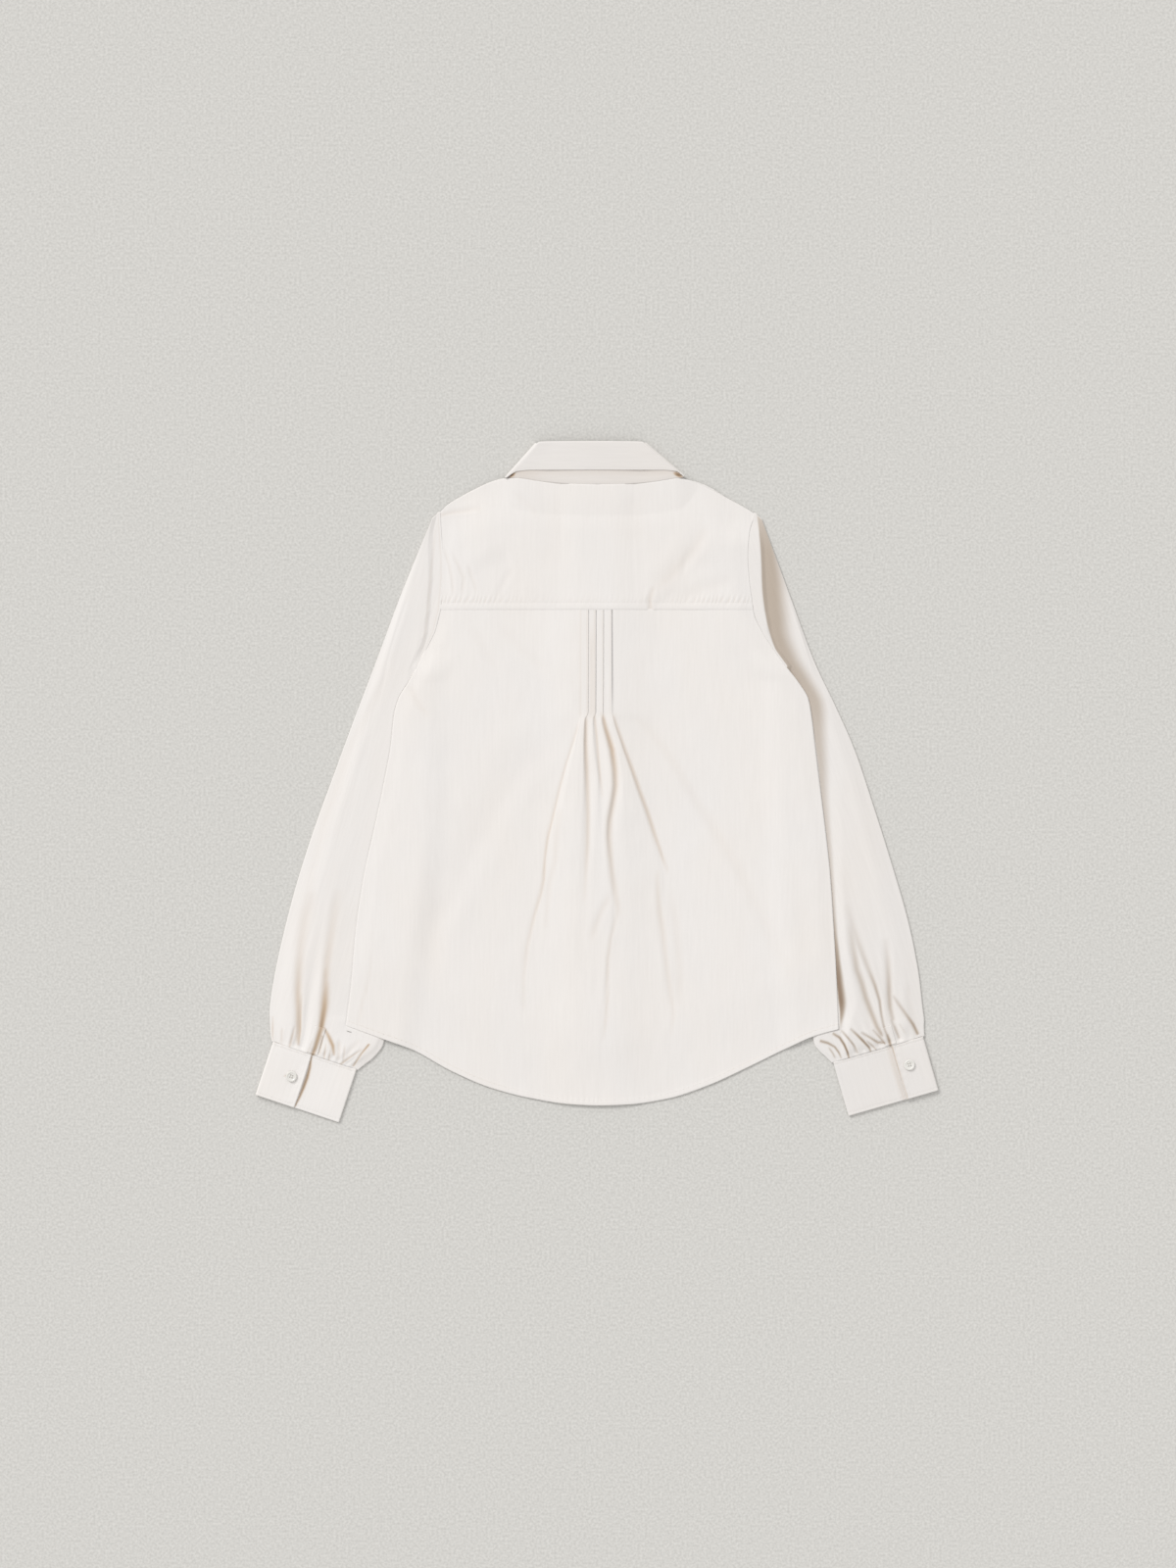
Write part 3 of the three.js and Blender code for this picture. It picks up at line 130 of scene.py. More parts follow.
# The released tucks: for each line its x at each height, then its rise there
FAN_Y = [184, 74, 66, 39, -3, -56, -108, -161, -213, -276, -348]
FAN = [
    ([-17.2, -17.4, -19.5, -26.8, -38.9, -52, -58, -70.4, -79, -79, -81],
     [0, 0, -0.3, -0.6, -1.0, -1.6, -1.6, -1.1, -0.9, -0.4, 0]),
    ([-15.0, -15.2, -17.0, -22.5, -31, -41, -46, -55, -62, -62, -63],
     [0.5, 0.5, 0.8, 1.3, 1.6, 1.6, 1.4, 1.1, 0.9, 0.5, 0]),
    ([-13.0, -13.2, -14.6, -17.8, -21, -25, -28, -33, -36, -37, -38],
     [0.9, 0.9, 1.3, 1.9, 2.2, 2.2, 1.9, 1.5, 1.1, 0.6, 0.1]),
    ([-9.8, -10.2, -13.4, -14.6, -15.4, -17.5, -21, -23.5, -24.5, -26, -26.5],
     [1.3, 1.3, 1.7, 1.8, 1.8, 1.8, 1.4, 1.1, 0.9, 0.5, 0.1]),
    ([-9.0, -9.3, -11.8, -12, -10.5, -10.6, -13.7, -15.2, -15.8, -17.9, -18],
     [0, -0.2, -1.4, -2.6, -2.6, -2.2, -1.4, -0.5, 0.1, 0.2, 0]),
    ([-1.6, -2.0, -4.8, -4, 0.6, 0, -2.5, -5, -6, -8, -8.5],
     [1.3, 1.3, 1.4, 1.4, 1.2, 1.0, 0.8, 0.7, 0.6, 0.4, 0]),
    ([-0.8, -1.1, -2.6, -0.3, 4.2, 5, 3.5, 1, -1, -3, -3.5],
     [0, -0.2, -1.1, -1.7, -1.2, 0.6, 0.6, 0.5, 0.5, 0.3, 0]),
    ([6.6, 6.2, 4.6, 10.5, 15.6, 9.6, 14, 14, 6.5, 0.8, -0.5],
     [1.3, 1.3, 1.4, 1.6, 1.7, 1.6, 1.5, 1.2, 1.0, 0.6, 0.1]),
    ([7.4, 7.1, 7.4, 15.8, 20.7, 13.7, 19.4, 19.2, 11, 5.3, 3.5],
     [0, -0.2, -1.5, -2.8, -3.0, -2.8, -2.3, -1.6, -1.2, -0.7, -0.1]),
    ([11.0, 10.9, 12.6, 21, 28.5, 30, 37, 37, 34, 30, 29],
     [0.7, 0.7, 1.3, 1.9, 2.2, 2.2, 1.9, 1.5, 1.1, 0.6, 0.1]),
    ([13.0, 13.0, 14.8, 23.5, 35, 45, 53, 53, 55, 53, 53],
     [1.0, 1.0, 1.6, 2.1, 2.2, 2.1, 1.9, 1.5, 1.0, 0.6, 0.1]),
    ([14.8, 15.0, 17.0, 25.8, 39.5, 55, 66.5, 63, 69, 70, 71],
     [1.3, 1.3, 1.6, 1.8, 1.8, 1.8, 1.7, 1.3, 0.9, 0.4, 0.1]),
    ([15.6, 16.2, 19.0, 28.4, 44.1, 62, 74, 70.9, 77.7, 79.3, 81],
     [0, 0, -0.8, -1.4, -1.8, -2.0, -2.0, -1.2, -1.2, -0.6, -0.1]),
]
FREE_EDGES = (3, 5, 7, 11)

# Sleeve sections: outer x and y, edge x and y, inner x and y, height
SLEEVE_SECTIONS = {
    "left": [
        (190, 252, 217.4, 89, 202.7, 79, 4.6), (207, 207, 223, 54.6, 199.5, 42, 4.8),
        (229, 147, 229.7, 7.4, 199.5, -6, 5), (256.5, 73.5, 241, -45, 202.7, -62, 5.2),
        (285.6, -6.3, 252, -98, 208, -117, 5.4), (312, -81, 260, -150, 215.3, -168, 5.6),
        (330, -145, 265, -197, 220.5, -213, 5.7), (343.4, -203, 269, -234, 226.3, -249, 5.8),
        (349.4, -242.6, 272.4, -266, 230, -281.4, 5.8), (349.3, -261.5, 275, -283.5, 240.5, -296, 5.8),
        (348.6, -272, 277.2, -295, 250, -303.5, 5.2),
    ],
    "right": [
        (192.2, 237.3, 230, 91, 215.5, 79, 4.4), (207, 198.5, 236.5, 56, 215.3, 42, 4.6),
        (228, 139.7, 241, 7.4, 216.3, -5.3, 4.8), (254, 83, 247.8, -45, 219.5, -59, 5),
        (280.4, 21, 253.2, -98, 222.6, -113, 5.3), (304.5, -55.7, 257, -150, 226.8, -168, 5.5),
        (327.3, -129, 259.8, -197, 229.4, -214, 5.7), (341.8, -192, 261.5, -234, 231.5, -250, 5.8),
        (348.3, -243.5, 262.8, -271.5, 234.2, -281, 5.8), (349.9, -256, 265.9, -281, 240.5, -289.8, 5.8),
        (349.7, -264.3, 269.2, -289, 247, -295.6, 5.2),
    ],
}
ROLL_FOOT = {"left": 2.9, "right": 2.0}
ROLL_FOOT_OUT = 4.5
FOLD_INSET = 1.6
SLEEVE_BY_EDGE = 2.35
# How far down the outer edge each section starts, in sections, so that no two rows of points cross
ROW_SLIDES = (1.1, 1.2, 1.1, 0.85, 0.6, 0.45, 0.3, 0.15, 0, 0, 0)

# Gathers: share of the cuff's width from the outer edge, width, depth, reach and drift
GATHERS = {
    "left": [
        (0.05, 2.6, 1.4, 32, 0.0), (0.14, 2.2, 1.2, 22, 0.0), (0.25, 3.0, 2.2, 55, 0.03),
        (0.33, 4.2, 2.6, 180, -0.02), (0.5, 4.6, 3.0, 150, 0.06), (0.59, 2.6, 1.8, 24, 0.02),
        (0.68, 3.0, 2.2, 40, -0.03), (0.76, 2.4, 1.8, 22, 0.0), (0.85, 2.8, 2.0, 34, 0.05),
        (0.94, 2.6, 1.8, 34, 0.02),
    ],
    "right": [
        (0.06, 2.6, 2.0, 45, 0.08), (0.15, 2.4, 1.4, 22, 0.0), (0.25, 3.2, 2.6, 90, 0.06),
        (0.35, 2.6, 1.8, 30, 0.02), (0.46, 4.0, 3.0, 110, 0.1), (0.55, 2.4, 2.0, 60, 0.04),
        (0.64, 2.6, 2.2, 28, 0.03), (0.73, 2.4, 2.0, 26, 0.03), (0.82, 2.6, 2.0, 28, 0.03),
        (0.92, 2.6, 2.0, 26, 0.03),
    ],
}
SLEEVE_TROUGHS = {"left": (27, 9, 1.3), "right": (34, 10, 0.9)}

CUFF_HEIGHT = 60
CUFF_UNDERLAP = 20
CUFF_OVER = 0.4
CUFFS = {
    "left": {"x": -347.4, "y": -279.2, "width": 95, "turn": -18.4, "lap_end": 44},
    "right": {"x": 350.2, "y": -273.7, "width": 101, "turn": 16.0, "lap_end": 36},
}
CUFF_BUTTON = {"left": (13, 29), "right": (13, 25)}
LAP_TOP = CUFF_CLOTH * 3 + SEAM_GAP * 2

COLLAR_BACK = [
    (0, 0, 363.6, 0, 333.2, 3.0), (30, 24, 363.6, 36, 333.2, 3.0), (60, 44, 363.5, 69, 333.2, 2.9),
    (82, 55, 363, 86, 331.8, 2.4),
]
COLLAR_TURN = {"left": ((63.7, 360.6), (96.3, 324.0)), "right": ((50.7, 360.6), (92.2, 325.2))}
COLLAR_TURN_SEAM = (92.5, 324.6)
COLLAR_TURN_ANGLES = (62, 22, -22, -62)
COLLAR_FRONT = [
    (92, 60, 344, 98.4, 311), (87, 56, 321, 93, 287), (70, 44, 300, 80, 258), (45, 27, 285.5, 64, 234),
    (20, 9, 277.5, 49, 216),
]
COLLAR_FRONT_Z = 1.9
BACK_ROLL_SHIFT = -6.5
STAND_BACK, STAND_FRONT = 0.66, 0.86
LEAF_OFFSET = CLOTH + LAYER_GAP
LEAF_SETTLED = 0.28
STAND_REACH, STAND_UNDER, STAND_OVER = 12, 2.85, 4.2


# Small helpers

def lerp(a, b, t):
    """The value that lies t of the way from a to b."""
    return a + (b - a) * t


def step(start, end, value):
    """A soft rise from 0 at the start to 1 at the end."""
    t = np.clip((value - start) / (end - start), 0, 1)
    return t * t * (3 - 2 * t)


def bell(distance, width):
    """A soft hump that is 1 at no distance."""
    return np.exp(-((distance / width) ** 2))


def running(lengths):
    """The running total of lengths, from zero."""
    return np.concatenate([[0], np.cumsum(lengths)])


def joined(*runs):
    """Evenly spaced values over runs that follow each other: a start, an end and a count for each."""
    values = [np.linspace(*run) for run in runs]
    return np.concatenate([part[:-1] for part in values[:-1]] + values[-1:])


def cubic(t):
    """Shares of the start, of its slope and of the end's slope, t of the way along a smooth line."""
    return 2 * t**3 - 3 * t**2 + 1, t**3 - 2 * t**2 + t, t**3 - t**2


def curve(rows, column=1):
    """A smooth function through the rows of a table that overshoots none of them."""
    rows = sorted(rows)
    xs = np.array([row[0] for row in rows], float)
    ys = np.array([row[column] for row in rows], float)
    slopes = np.diff(ys) / np.diff(xs)
    tangents = np.empty_like(ys)
    tangents[0], tangents[-1] = slopes[0], slopes[-1]
    before, after = slopes[:-1], slopes[1:]
    same_way = before * after > 0
    total = np.where(same_way, before + after, 1)
    tangents[1:-1] = np.where(same_way, 2 * before * after / total, 0)

    def value(v):
        v = np.clip(v, xs[0], xs[-1])
        i = np.clip(np.searchsorted(xs, v, side="right") - 1, 0, len(xs) - 2)
        span = xs[i + 1] - xs[i]
        t = (v - xs[i]) / span
        first, slope, end_slope = cubic(t)
        slopes_part = slope * span * tangents[i]
        return first * ys[i] + slopes_part + (1 - first) * ys[i + 1] + end_slope * span * tangents[i + 1]

    return value


WAVES = 7


def smooth_noise(x, y, seed, size):
    """Soft waves that repeat nowhere on the blouse, from sines in seeded directions."""
    rng = np.random.default_rng(seed)
    total = np.zeros(np.broadcast(x, y).shape)
    for _ in range(WAVES):
        angle = rng.uniform(0, math.pi)
        length = size * rng.uniform(0.7, 1.6)
        phase = rng.uniform(0, 2 * math.pi)
        total = total + np.sin((x * math.cos(angle) + y * math.sin(angle)) * 2 * math.pi / length + phase)
    return total / WAVES


def from_photo(points):
    """Photograph pixels to millimetres; any further values in a row stay as they are."""
    return [
        ((p[0] - PHOTO_ORIGIN[0]) * PHOTO_SCALE, (PHOTO_ORIGIN[1] - p[1]) * PHOTO_SCALE, *p[2:])
        for p in points
    ]


def to_photo(x, y):
    """Millimetres to photograph pixels."""
    return PHOTO_ORIGIN[0] + x / PHOTO_SCALE, PHOTO_ORIGIN[1] - y / PHOTO_SCALE


def on_cuff(side, u, v):
    """x and y of a place on a cuff: u from its outer end, v down from its upper edge."""
    turn = math.radians(CUFFS[side]["turn"])
    inward = -OUTWARD[side] * u
    x = CUFFS[side]["x"] + inward * math.cos(turn) + v * math.sin(turn)
    y = CUFFS[side]["y"] + inward * math.sin(turn) - v * math.cos(turn)
    return x, y


# A crease fades over this share of its length at each end; its ridge is this high against its trough
CREASE_FADE = 0.25
CREASE_RIDGE = 0.35


def crease(x, y, path, width, depth, lean, painted_shade):
    """Height and painted shade of a trough along a path, with a soft ridge beside it.

    Lean makes one side steeper. The painted shade is how far the cloth's colour turns warm and dark along the
    crease, standing in for the shade in it and the light that has gone through the folds.
    Width and painted shade are one value, or values spread evenly from the path's start to its end.
    """
    path = np.array(from_photo(path), float)
    height, warmth = np.zeros(x.shape), np.zeros(x.shape)
    reach = np.max(width) * 4.5
    near = (
        (x > path[:, 0].min() - reach) & (x < path[:, 0].max() + reach)
        & (y > path[:, 1].min() - reach) & (y < path[:, 1].max() + reach)
    )
    if not near.any():
        return height, warmth
    px, py = x[near], y[near]
    steps = np.diff(path, axis=0)
    lengths = np.hypot(steps[:, 0], steps[:, 1])
    starts = running(lengths)
    best = np.full(px.shape, 1e9)
    side = np.zeros(px.shape)
    along = np.zeros(px.shape)
    for i, (sx, sy) in enumerate(steps):
        held = np.clip(((px - path[i, 0]) * sx + (py - path[i, 1]) * sy) / lengths[i] ** 2, 0, 1)
        dx, dy = px - path[i, 0] - held * sx, py - path[i, 1] - held * sy
        distance = np.hypot(dx, dy)
        closer = distance < best
        best = np.where(closer, distance, best)
        side = np.where(closer, np.sign(sx * dy - sy * dx), side)
        along = np.where(closer, starts[i] + held * lengths[i], along)
    share = along / starts[-1]
    width, painted_shade_here = (
        np.interp(share, np.linspace(0, 1, np.size(value)), np.atleast_1d(value)) for value in (width, painted_shade)
    )
    ends = step(0, CREASE_FADE, share) * step(1, 1 - CREASE_FADE, share)
    ends = (0.15 + 0.85 * ends) * step(0, 0.04, share) * step(1, 0.96, share)
    signed = best * side / (width * (1 + lean * side))
    shape = -np.exp(-(signed**2)) + CREASE_RIDGE * np.exp(-((np.abs(signed) - 1.9) ** 2) / 0.8)
    height[near] = depth * shape * ends
    warm_ends = ends if np.size(painted_shade) == 1 else step(0, 0.05, share) * step(1, 0.95, share)
    warmth[near] = painted_shade_here * np.exp(-((best / (width * 0.9)) ** 2)) * warm_ends
    return height, warmth


def creases(x, y, rows):
    """Height and painted shade of many creases together."""
    height, painted_shade = np.zeros(x.shape), np.zeros(x.shape)
    for path, width, depth, lean, warm in rows:
        rise, warmth = crease(x, y, path, width, depth, lean, warm)
        height = height + rise
        painted_shade = np.maximum(painted_shade, warmth) + 0.3 * np.minimum(painted_shade, warmth)
    return height, painted_shade


def grid_shell(top, bottom, ring=False):
    """Points and faces of a closed cloth wall: a fine outer grid over every second point of an inner one."""
    inner = bottom[::2, ::2]
    points = np.concatenate([top.reshape(-1, 3), inner.reshape(-1, 3)])
    fine = np.arange(top.shape[0] * top.shape[1]).reshape(top.shape[:2])
    coarse = fine.size + np.arange(inner.shape[0] * inner.shape[1]).reshape(inner.shape[:2])
    if ring:
        fine = np.concatenate([fine, fine[:, :1]], axis=1)
        coarse = np.concatenate([coarse, coarse[:, :1]], axis=1)

    def quads(g):
        return np.stack([g[:-1, :-1], g[:-1, 1:], g[1:, 1:], g[1:, :-1]], axis=-1).reshape(-1, 4)

    def rim(outer, within):
        a, b, c = outer[:-1:2], outer[1::2], outer[2::2]
        p, q = within[:-1], within[1:]
        return np.concatenate([np.stack(corners, axis=-1) for corners in ((a, p, b), (b, p, q), (b, q, c))])

    fours = np.concatenate([quads(fine), quads(coarse)[:, ::-1]])
    rims = [rim(fine[0], coarse[0]), rim(fine[-1], coarse[-1])[:, ::-1]]
    if not ring:
        rims += [rim(fine[:, 0], coarse[:, 0])[:, ::-1], rim(fine[:, -1], coarse[:, -1])]
    threes = np.concatenate(rims)
    split = np.concatenate([fours[:, :3], fours[:, [0, 2, 3]], threes])
    a, b, c = (points[split[:, k]] for k in range(3))
    if np.einsum("ij,ij->i", a, np.cross(b, c)).sum() < 0:
        fours, threes = fours[:, ::-1], threes[:, ::-1]
    return points, fours.tolist() + threes.tolist()


def points_of(x, y, z):
    return np.stack([x, y, z], axis=-1)


def lowest_near(z):
    """The lowest of each height and its neighbours, so a coarser grid stays under a fine one."""
    padded = np.pad(z, 1, mode="edge")
    rows, columns = z.shape
    return np.min([padded[i:i + rows, j:j + columns] for i in range(3) for j in range(3)], axis=0)


def cloth_wall(x, y, z, thick=SHEER):
    """A closed wall of cloth under a grid of points."""
    return grid_shell(points_of(x, y, z), points_of(x, y, lowest_near(z) - thick))


def set_painted_shade(piece, painted_shade):
    """Keeps the outer grid's painted shade, from 0 to 2, on the piece for its material to read."""
    values = np.zeros(len(piece.data.vertices), np.float32)
    values[:painted_shade.size] = np.clip(painted_shade / 2, 0, 1).ravel()
    piece.data.attributes.new("painted_shade", "FLOAT", "POINT").data.foreach_set("value", values)


def normals_of(grid):
    """The outward way at each point of a grid."""
    normal = np.cross(np.gradient(grid, axis=1), np.gradient(grid, axis=0))
    return normal / np.maximum(np.linalg.norm(normal, axis=2, keepdims=True), 1e-9)


def new_piece(name, points, faces, material, slot, replaces=()):
    """A piece of the part with its mesh, material and place in the tree; its slot is not used."""
    mesh = bpy.data.meshes.new(name)
    shift = np.array([FOOTPRINT[0], FOOTPRINT[1], 0.0])
    mesh.from_pydata(((points + shift) * MM).tolist(), [], faces)
    mesh.validate()
    mesh.shade_smooth()
    piece = bpy.data.objects.new(name, mesh)
    bpy.context.scene.collection.objects.link(piece)
    mesh.materials.append(material)
    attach(piece, "root")
    if replaces:
        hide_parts(*replaces)
    return piece


# Body outline and layer heights, as in the CAD source

EDGE = {"left": curve(BODY_EDGE, 1), "right": curve(BODY_EDGE, 2)}
ROLL = {"left": curve(ARMHOLE_ROLL, 1), "right": curve(ARMHOLE_ROLL, 2)}
SLEEVE_INNER = {side: curve([(row[5], row[4]) for row in SLEEVE_SECTIONS[side]]) for side in SIDES}
hem_at = curve(HEM)
yoke_top_at = curve(YOKE_TOP)
front_top_at = curve(FRONT_TOP)


def by_side(x, y, functions):
    """The left function's value at points left of the middle, and the right one's at the others."""
    return np.where(x < 0, functions["left"](y), functions["right"](y))


def edge_at(x, y):
    return by_side(x, y, EDGE)


def inside_edge(x, y):
    return edge_at(x, y) - np.abs(x)


def placket_lift(x, y):
    """The buttons hold the placket off the surface; below the last one it sinks towards it."""
    return PLACKET_LIFT * (1 - 0.75 * step(70, 8, y - hem_at(x)))


def front_low(x, y):
    """Height of the fronts' lowest side: they rise over the sleeves, the collar and the buttons."""
    inner = np.minimum(by_side(x, y, SLEEVE_INNER), edge_at(x, y))
    high, start, end = SLEEVE_LIFT
    reach = step(inner - start, inner - end, np.abs(x))
    by_sleeve = high * reach * step(UNDERARM_Y + 40, UNDERARM_Y + 8, y)
    from_neck = front_top_at(np.abs(x)) - y
    by_collar = COLLAR_LIFT * step(92, 66, from_neck) * step(150, 118, np.abs(x))
    by_buttons = placket_lift(x, y) * step(PLACKET_HALF + PLACKET_RUN, PLACKET_HALF, np.abs(x))
    return np.maximum(np.maximum(by_sleeve, by_collar), by_buttons)


def lap_rise(x, start):
    """One front lies on the other round the middle."""
    return (CLOTH + LAYER_GAP) * step(start, LAP_TO, np.abs(x))


def back_low(x, y):
    """Height under the back: it rests on the fronts and is loose between its edges."""
    edge = step(-1, 18, inside_edge(x, y))
    hem = step(2, 90, y - hem_at(x))
    shoulder = step(0, 52, yoke_top_at(x) - y)
    neck = step(112, 84, np.abs(x)) * step(90, 5, yoke_top_at(x) - y)
    centre = bell(x, 95) * step(-330, -120, y) * step(260, 120, y)
    opening = np.maximum(shoulder, neck)
    level = (0.8 + 0.6 * hem + 0.9 * centre) * edge * (0.3 + 0.7 * hem) * opening
    loft = 1.4 * step(0, 60, inside_edge(x, y)) * hem * opening
    plies = lap_rise(x, LAP_WIDE) * 0.4 + SHEER + 2 * PLY_GAP
    return front_low(x, y) + plies + level + loft + 0.4 * neck + right_edge_lift(x, y)


def right_edge_lift(x, y):
    """On the right the body's edge stands clear of the sleeve, most of all beside the armhole."""
    near = step(75, 6, inside_edge(x, y)) * step(-1, 1, x)
    return (0.35 + 2.3 * step(85, 150, y)) * near * step(284, 250, y) * step(-262, -180, y)


def back_high(x, y):
    return back_low(x, y) + SHEER


def armhole_levels(side):
    """Heights of the points along the armhole, from the shoulder down to the underarm."""
    return [lerp(YOKE_SEAM_Y, TIP_Y[side], share) for share in ARMHOLE_UP_YOKE] + ARMHOLE_BELOW


# Seeds of the soft waves: the body's long and short ones, the yoke's own, and one for each front and sleeve
BODY_SEEDS = (5, 6)
YOKE_SEED = 11
FRONT_SEEDS = {"left": 21, "right": 22}
SLEEVE_SEEDS = {"left": 31, "right": 32}


# Materials

CLOTH_DARK = (0.85, 0.822, 0.804)
CLOTH_LIGHT = (0.876, 0.848, 0.83)
# Painted shade colours: warm beige in folds and beside edges, a greyer beige for the right sleeve's deep
# shade, and deep brown where the painted shade is strongest
FOLD_SHADE_COLOUR = (0.7, 0.565, 0.43)
SHADE_TINT = (0.62, 0.55, 0.475)
DEEP_FOLD_SHADE_COLOUR = (0.3, 0.2, 0.13)
PATCH_COLOURS = ((1.0, 0.992, 0.982), (0.992, 0.995, 1.0))

# How fine the slubs, the threads and the pale patches are: across the grain, along it and through the cloth
SLUB_STRETCH = (430, 26, 300)
THREAD_STRETCH = (1500, 1100, 900)
PATCH_STRETCH = (14, 7, 9)


def shader(name):
    """A new material: its nodes, links and main shader, and each point's place in metres."""
    material = bpy.data.materials.new(name)
    material.use_nodes = True
    nodes = material.node_tree.nodes
    place = nodes.new("ShaderNodeTexCoord").outputs["Object"]
    return material, nodes, material.node_tree.links, nodes["Principled BSDF"], place


def set_inputs(node, **values):
    """Sets the inputs that the words name, with spaces for underscores."""
    for name, value in values.items():
        node.inputs[name.replace("_", " ")].default_value = value


def noise(nodes, links, place, scale, detail=2.0, rough=0.5):
    texture = nodes.new("ShaderNodeTexNoise")
    set_inputs(texture, Scale=scale, Detail=detail, Roughness=rough)
    links.new(place, texture.inputs["Vector"])
    return texture.outputs["Fac"]


def ramp(nodes, links, source, colours, start=0.0, end=1.0):
    """Two colours, or three with the middle one halfway, spread over the source's values."""
    node = nodes.new("ShaderNodeValToRGB")
    stops = node.color_ramp.elements
    stops[0].position, stops[1].position = start, end
    stops[0].color, stops[1].color = (*colours[0], 1), (*colours[-1], 1)
    for colour in colours[1:-1]:
        stops.new((start + end) / 2).color = (*colour, 1)
    links.new(source, node.inputs["Fac"])
    return node.outputs["Color"]


def multiply(nodes, links, first, second):
    node = nodes.new("ShaderNodeMix")
    node.data_type = "RGBA"
    node.blend_type = "MULTIPLY"
    node.inputs["Factor"].default_value = 1.0
    links.new(first, node.inputs["A"])
    links.new(second, node.inputs["B"])
    return node.outputs["Result"]


def bump(nodes, links, height, strength, distance):
    node = nodes.new("ShaderNodeBump")
    set_inputs(node, Strength=strength, Distance=distance)
    links.new(height, node.inputs["Height"])
    return node


def cloth_material(name, grain_turn, shade=1.0, slub=1.0, tint=FOLD_SHADE_COLOUR):
    """Crisp ivory cotton: a fine weave, long soft slubs along the grain, and warm beige painted shade in the
    folds.
    """
    material, nodes, links, principled, place = shader(name)
    turn = nodes.new("ShaderNodeMapping")
    turn.vector_type = "TEXTURE"
    turn.inputs["Rotation"].default_value[2] = math.radians(grain_turn)
    links.new(place, turn.inputs["Vector"])

    def stretched_noise(stretches, detail, rough):
        stretch = nodes.new("ShaderNodeMapping")
        stretch.inputs["Scale"].default_value = stretches
        links.new(turn.outputs["Vector"], stretch.inputs["Vector"])
        return noise(nodes, links, stretch.outputs["Vector"], 1.0, detail, rough)

    slubs = stretched_noise(SLUB_STRETCH, 3.0, 0.6)
    threads = stretched_noise(THREAD_STRETCH, 2.0, 0.5)
    patches = stretched_noise(PATCH_STRETCH, 2.0, 0.5)
    slub_colours = [[value * shade for value in colour] for colour in (CLOTH_DARK, CLOTH_LIGHT)]
    colour = multiply(
        nodes, links,
        ramp(nodes, links, slubs, slub_colours, 0.3, 0.7),
        ramp(nodes, links, patches, PATCH_COLOURS, 0.3, 0.7),
    )
    # Each point's painted shade turns the colour towards the painted fold shade, then towards deep brown
    painted_shade = nodes.new("ShaderNodeAttribute")
    painted_shade.attribute_name = "painted_shade"
    folds = ramp(nodes, links, painted_shade.outputs["Fac"], ((1, 1, 1), tint, DEEP_FOLD_SHADE_COLOUR))
    links.new(multiply(nodes, links, colour, folds), principled.inputs["Base Color"])

    fine = bump(nodes, links, threads, 0.2, 0.0002)
    coarse = bump(nodes, links, slubs, 0.22 * slub, 0.0006)
    links.new(fine.outputs["Normal"], coarse.inputs["Normal"])
    links.new(coarse.outputs["Normal"], principled.inputs["Normal"])
    set_inputs(principled, Roughness=0.82, Sheen_Weight=0.1, Sheen_Roughness=0.45, Specular_IOR_Level=0.2)
    return material


def button_material():
    material, nodes, links, principled, place = shader("pearly_button")
    clouds = noise(nodes, links, place, 260)
    colour = ramp(nodes, links, clouds, ((0.74, 0.72, 0.68), (0.88, 0.87, 0.84)))
    links.new(colour, principled.inputs["Base Color"])
    rough = nodes.new("ShaderNodeMapRange")
    set_inputs(rough, To_Min=0.22, To_Max=0.38)
    links.new(clouds, rough.inputs["Value"])
    links.new(rough.outputs["Result"], principled.inputs["Roughness"])
    principled.inputs["Coat Weight"].default_value = 0.3
    return material


def thread_material(name, shade=1.0):
    material, nodes, links, principled, place = shader(name)
    colours = [[value * shade for value in colour] for colour in ((0.72, 0.69, 0.65), (0.9, 0.88, 0.85))]
    colour = ramp(nodes, links, noise(nodes, links, place, 900), colours)
    links.new(colour, principled.inputs["Base Color"])
    principled.inputs["Roughness"].default_value = 0.6
    return material


# One cotton for every piece; shade paints light on the left cuff and paints shade on the right sleeve, the
# right cuff and the collar
BODY_CLOTH = cloth_material("ivory_cotton_body", 0)
SLEEVE_CLOTH = {
    "left": cloth_material("ivory_cotton_left_sleeve", -15),
    "right": cloth_material("ivory_cotton_right_sleeve", 17, shade=0.965, tint=SHADE_TINT),
}
CUFF_CLOTHS = {
    "left": cloth_material("ivory_cotton_left_cuff", -18.4, shade=1.02, slub=0.8),
    "right": cloth_material("ivory_cotton_right_cuff", 16, shade=0.945, slub=0.8),
}
COLLAR_CLOTH = cloth_material("ivory_cotton_collar", 90, shade=0.945, slub=0.8)
THREAD = thread_material("ivory_thread")
# Thread darkened as painted shadow
PAINTED_SHADOW_THREAD = thread_material("shaded_thread", 0.5)
PEARL = button_material()


# Body panels

# Each crease: its path in photograph pixels, width, depth, lean and painted shade
YOKE_CREASES = [
    ([(664, 626), (663, 612), (667, 598)], 2.6, 0.5, 0.0, (0.22, 0.2, 0.08)),
    ([(664, 606), (684, 588), (708, 560), (722, 536)], 7.0, 0.6, 0.2, 0.08),
    ([(447, 526), (460, 523), (474, 521.5), (492, 518)], (2.2, 3.0), 0.4, 0.3, (0.2, 0.12, 0.05)),
    ([(461, 562), (467, 576), (473, 590), (471, 610)], 2.0, 0.3, 0.3, 0.1),
    ([(477, 576), (482, 590), (487, 606)], 2.0, 0.3, 0.3, 0.08),
    ([(451, 556), (457, 572), (461, 590), (463, 612)], 1.8, 0.3, 0.3, 0.1),
    ([(449, 540), (450, 565), (450, 600)], 1.3, 0.2, 0.0, 0.1),
    ([(505, 618), (511, 600), (522, 580)], 3.5, 0.25, 0.0, 0.03),
    ([(560, 505), (566, 540), (560, 585)], 14.0, 0.4, 0.0, 0.02),
    ([(650, 500), (646, 530), (652, 560)], 12.0, 0.3, 0.0, 0.02),
    ([(690, 612), (720, 600), (752, 592)], 7.0, 0.4, 0.0, 0.03),
    ([(521, 500), (540, 516), (553, 530)], 4.0, 0.25, 0.0, 0.03),
]
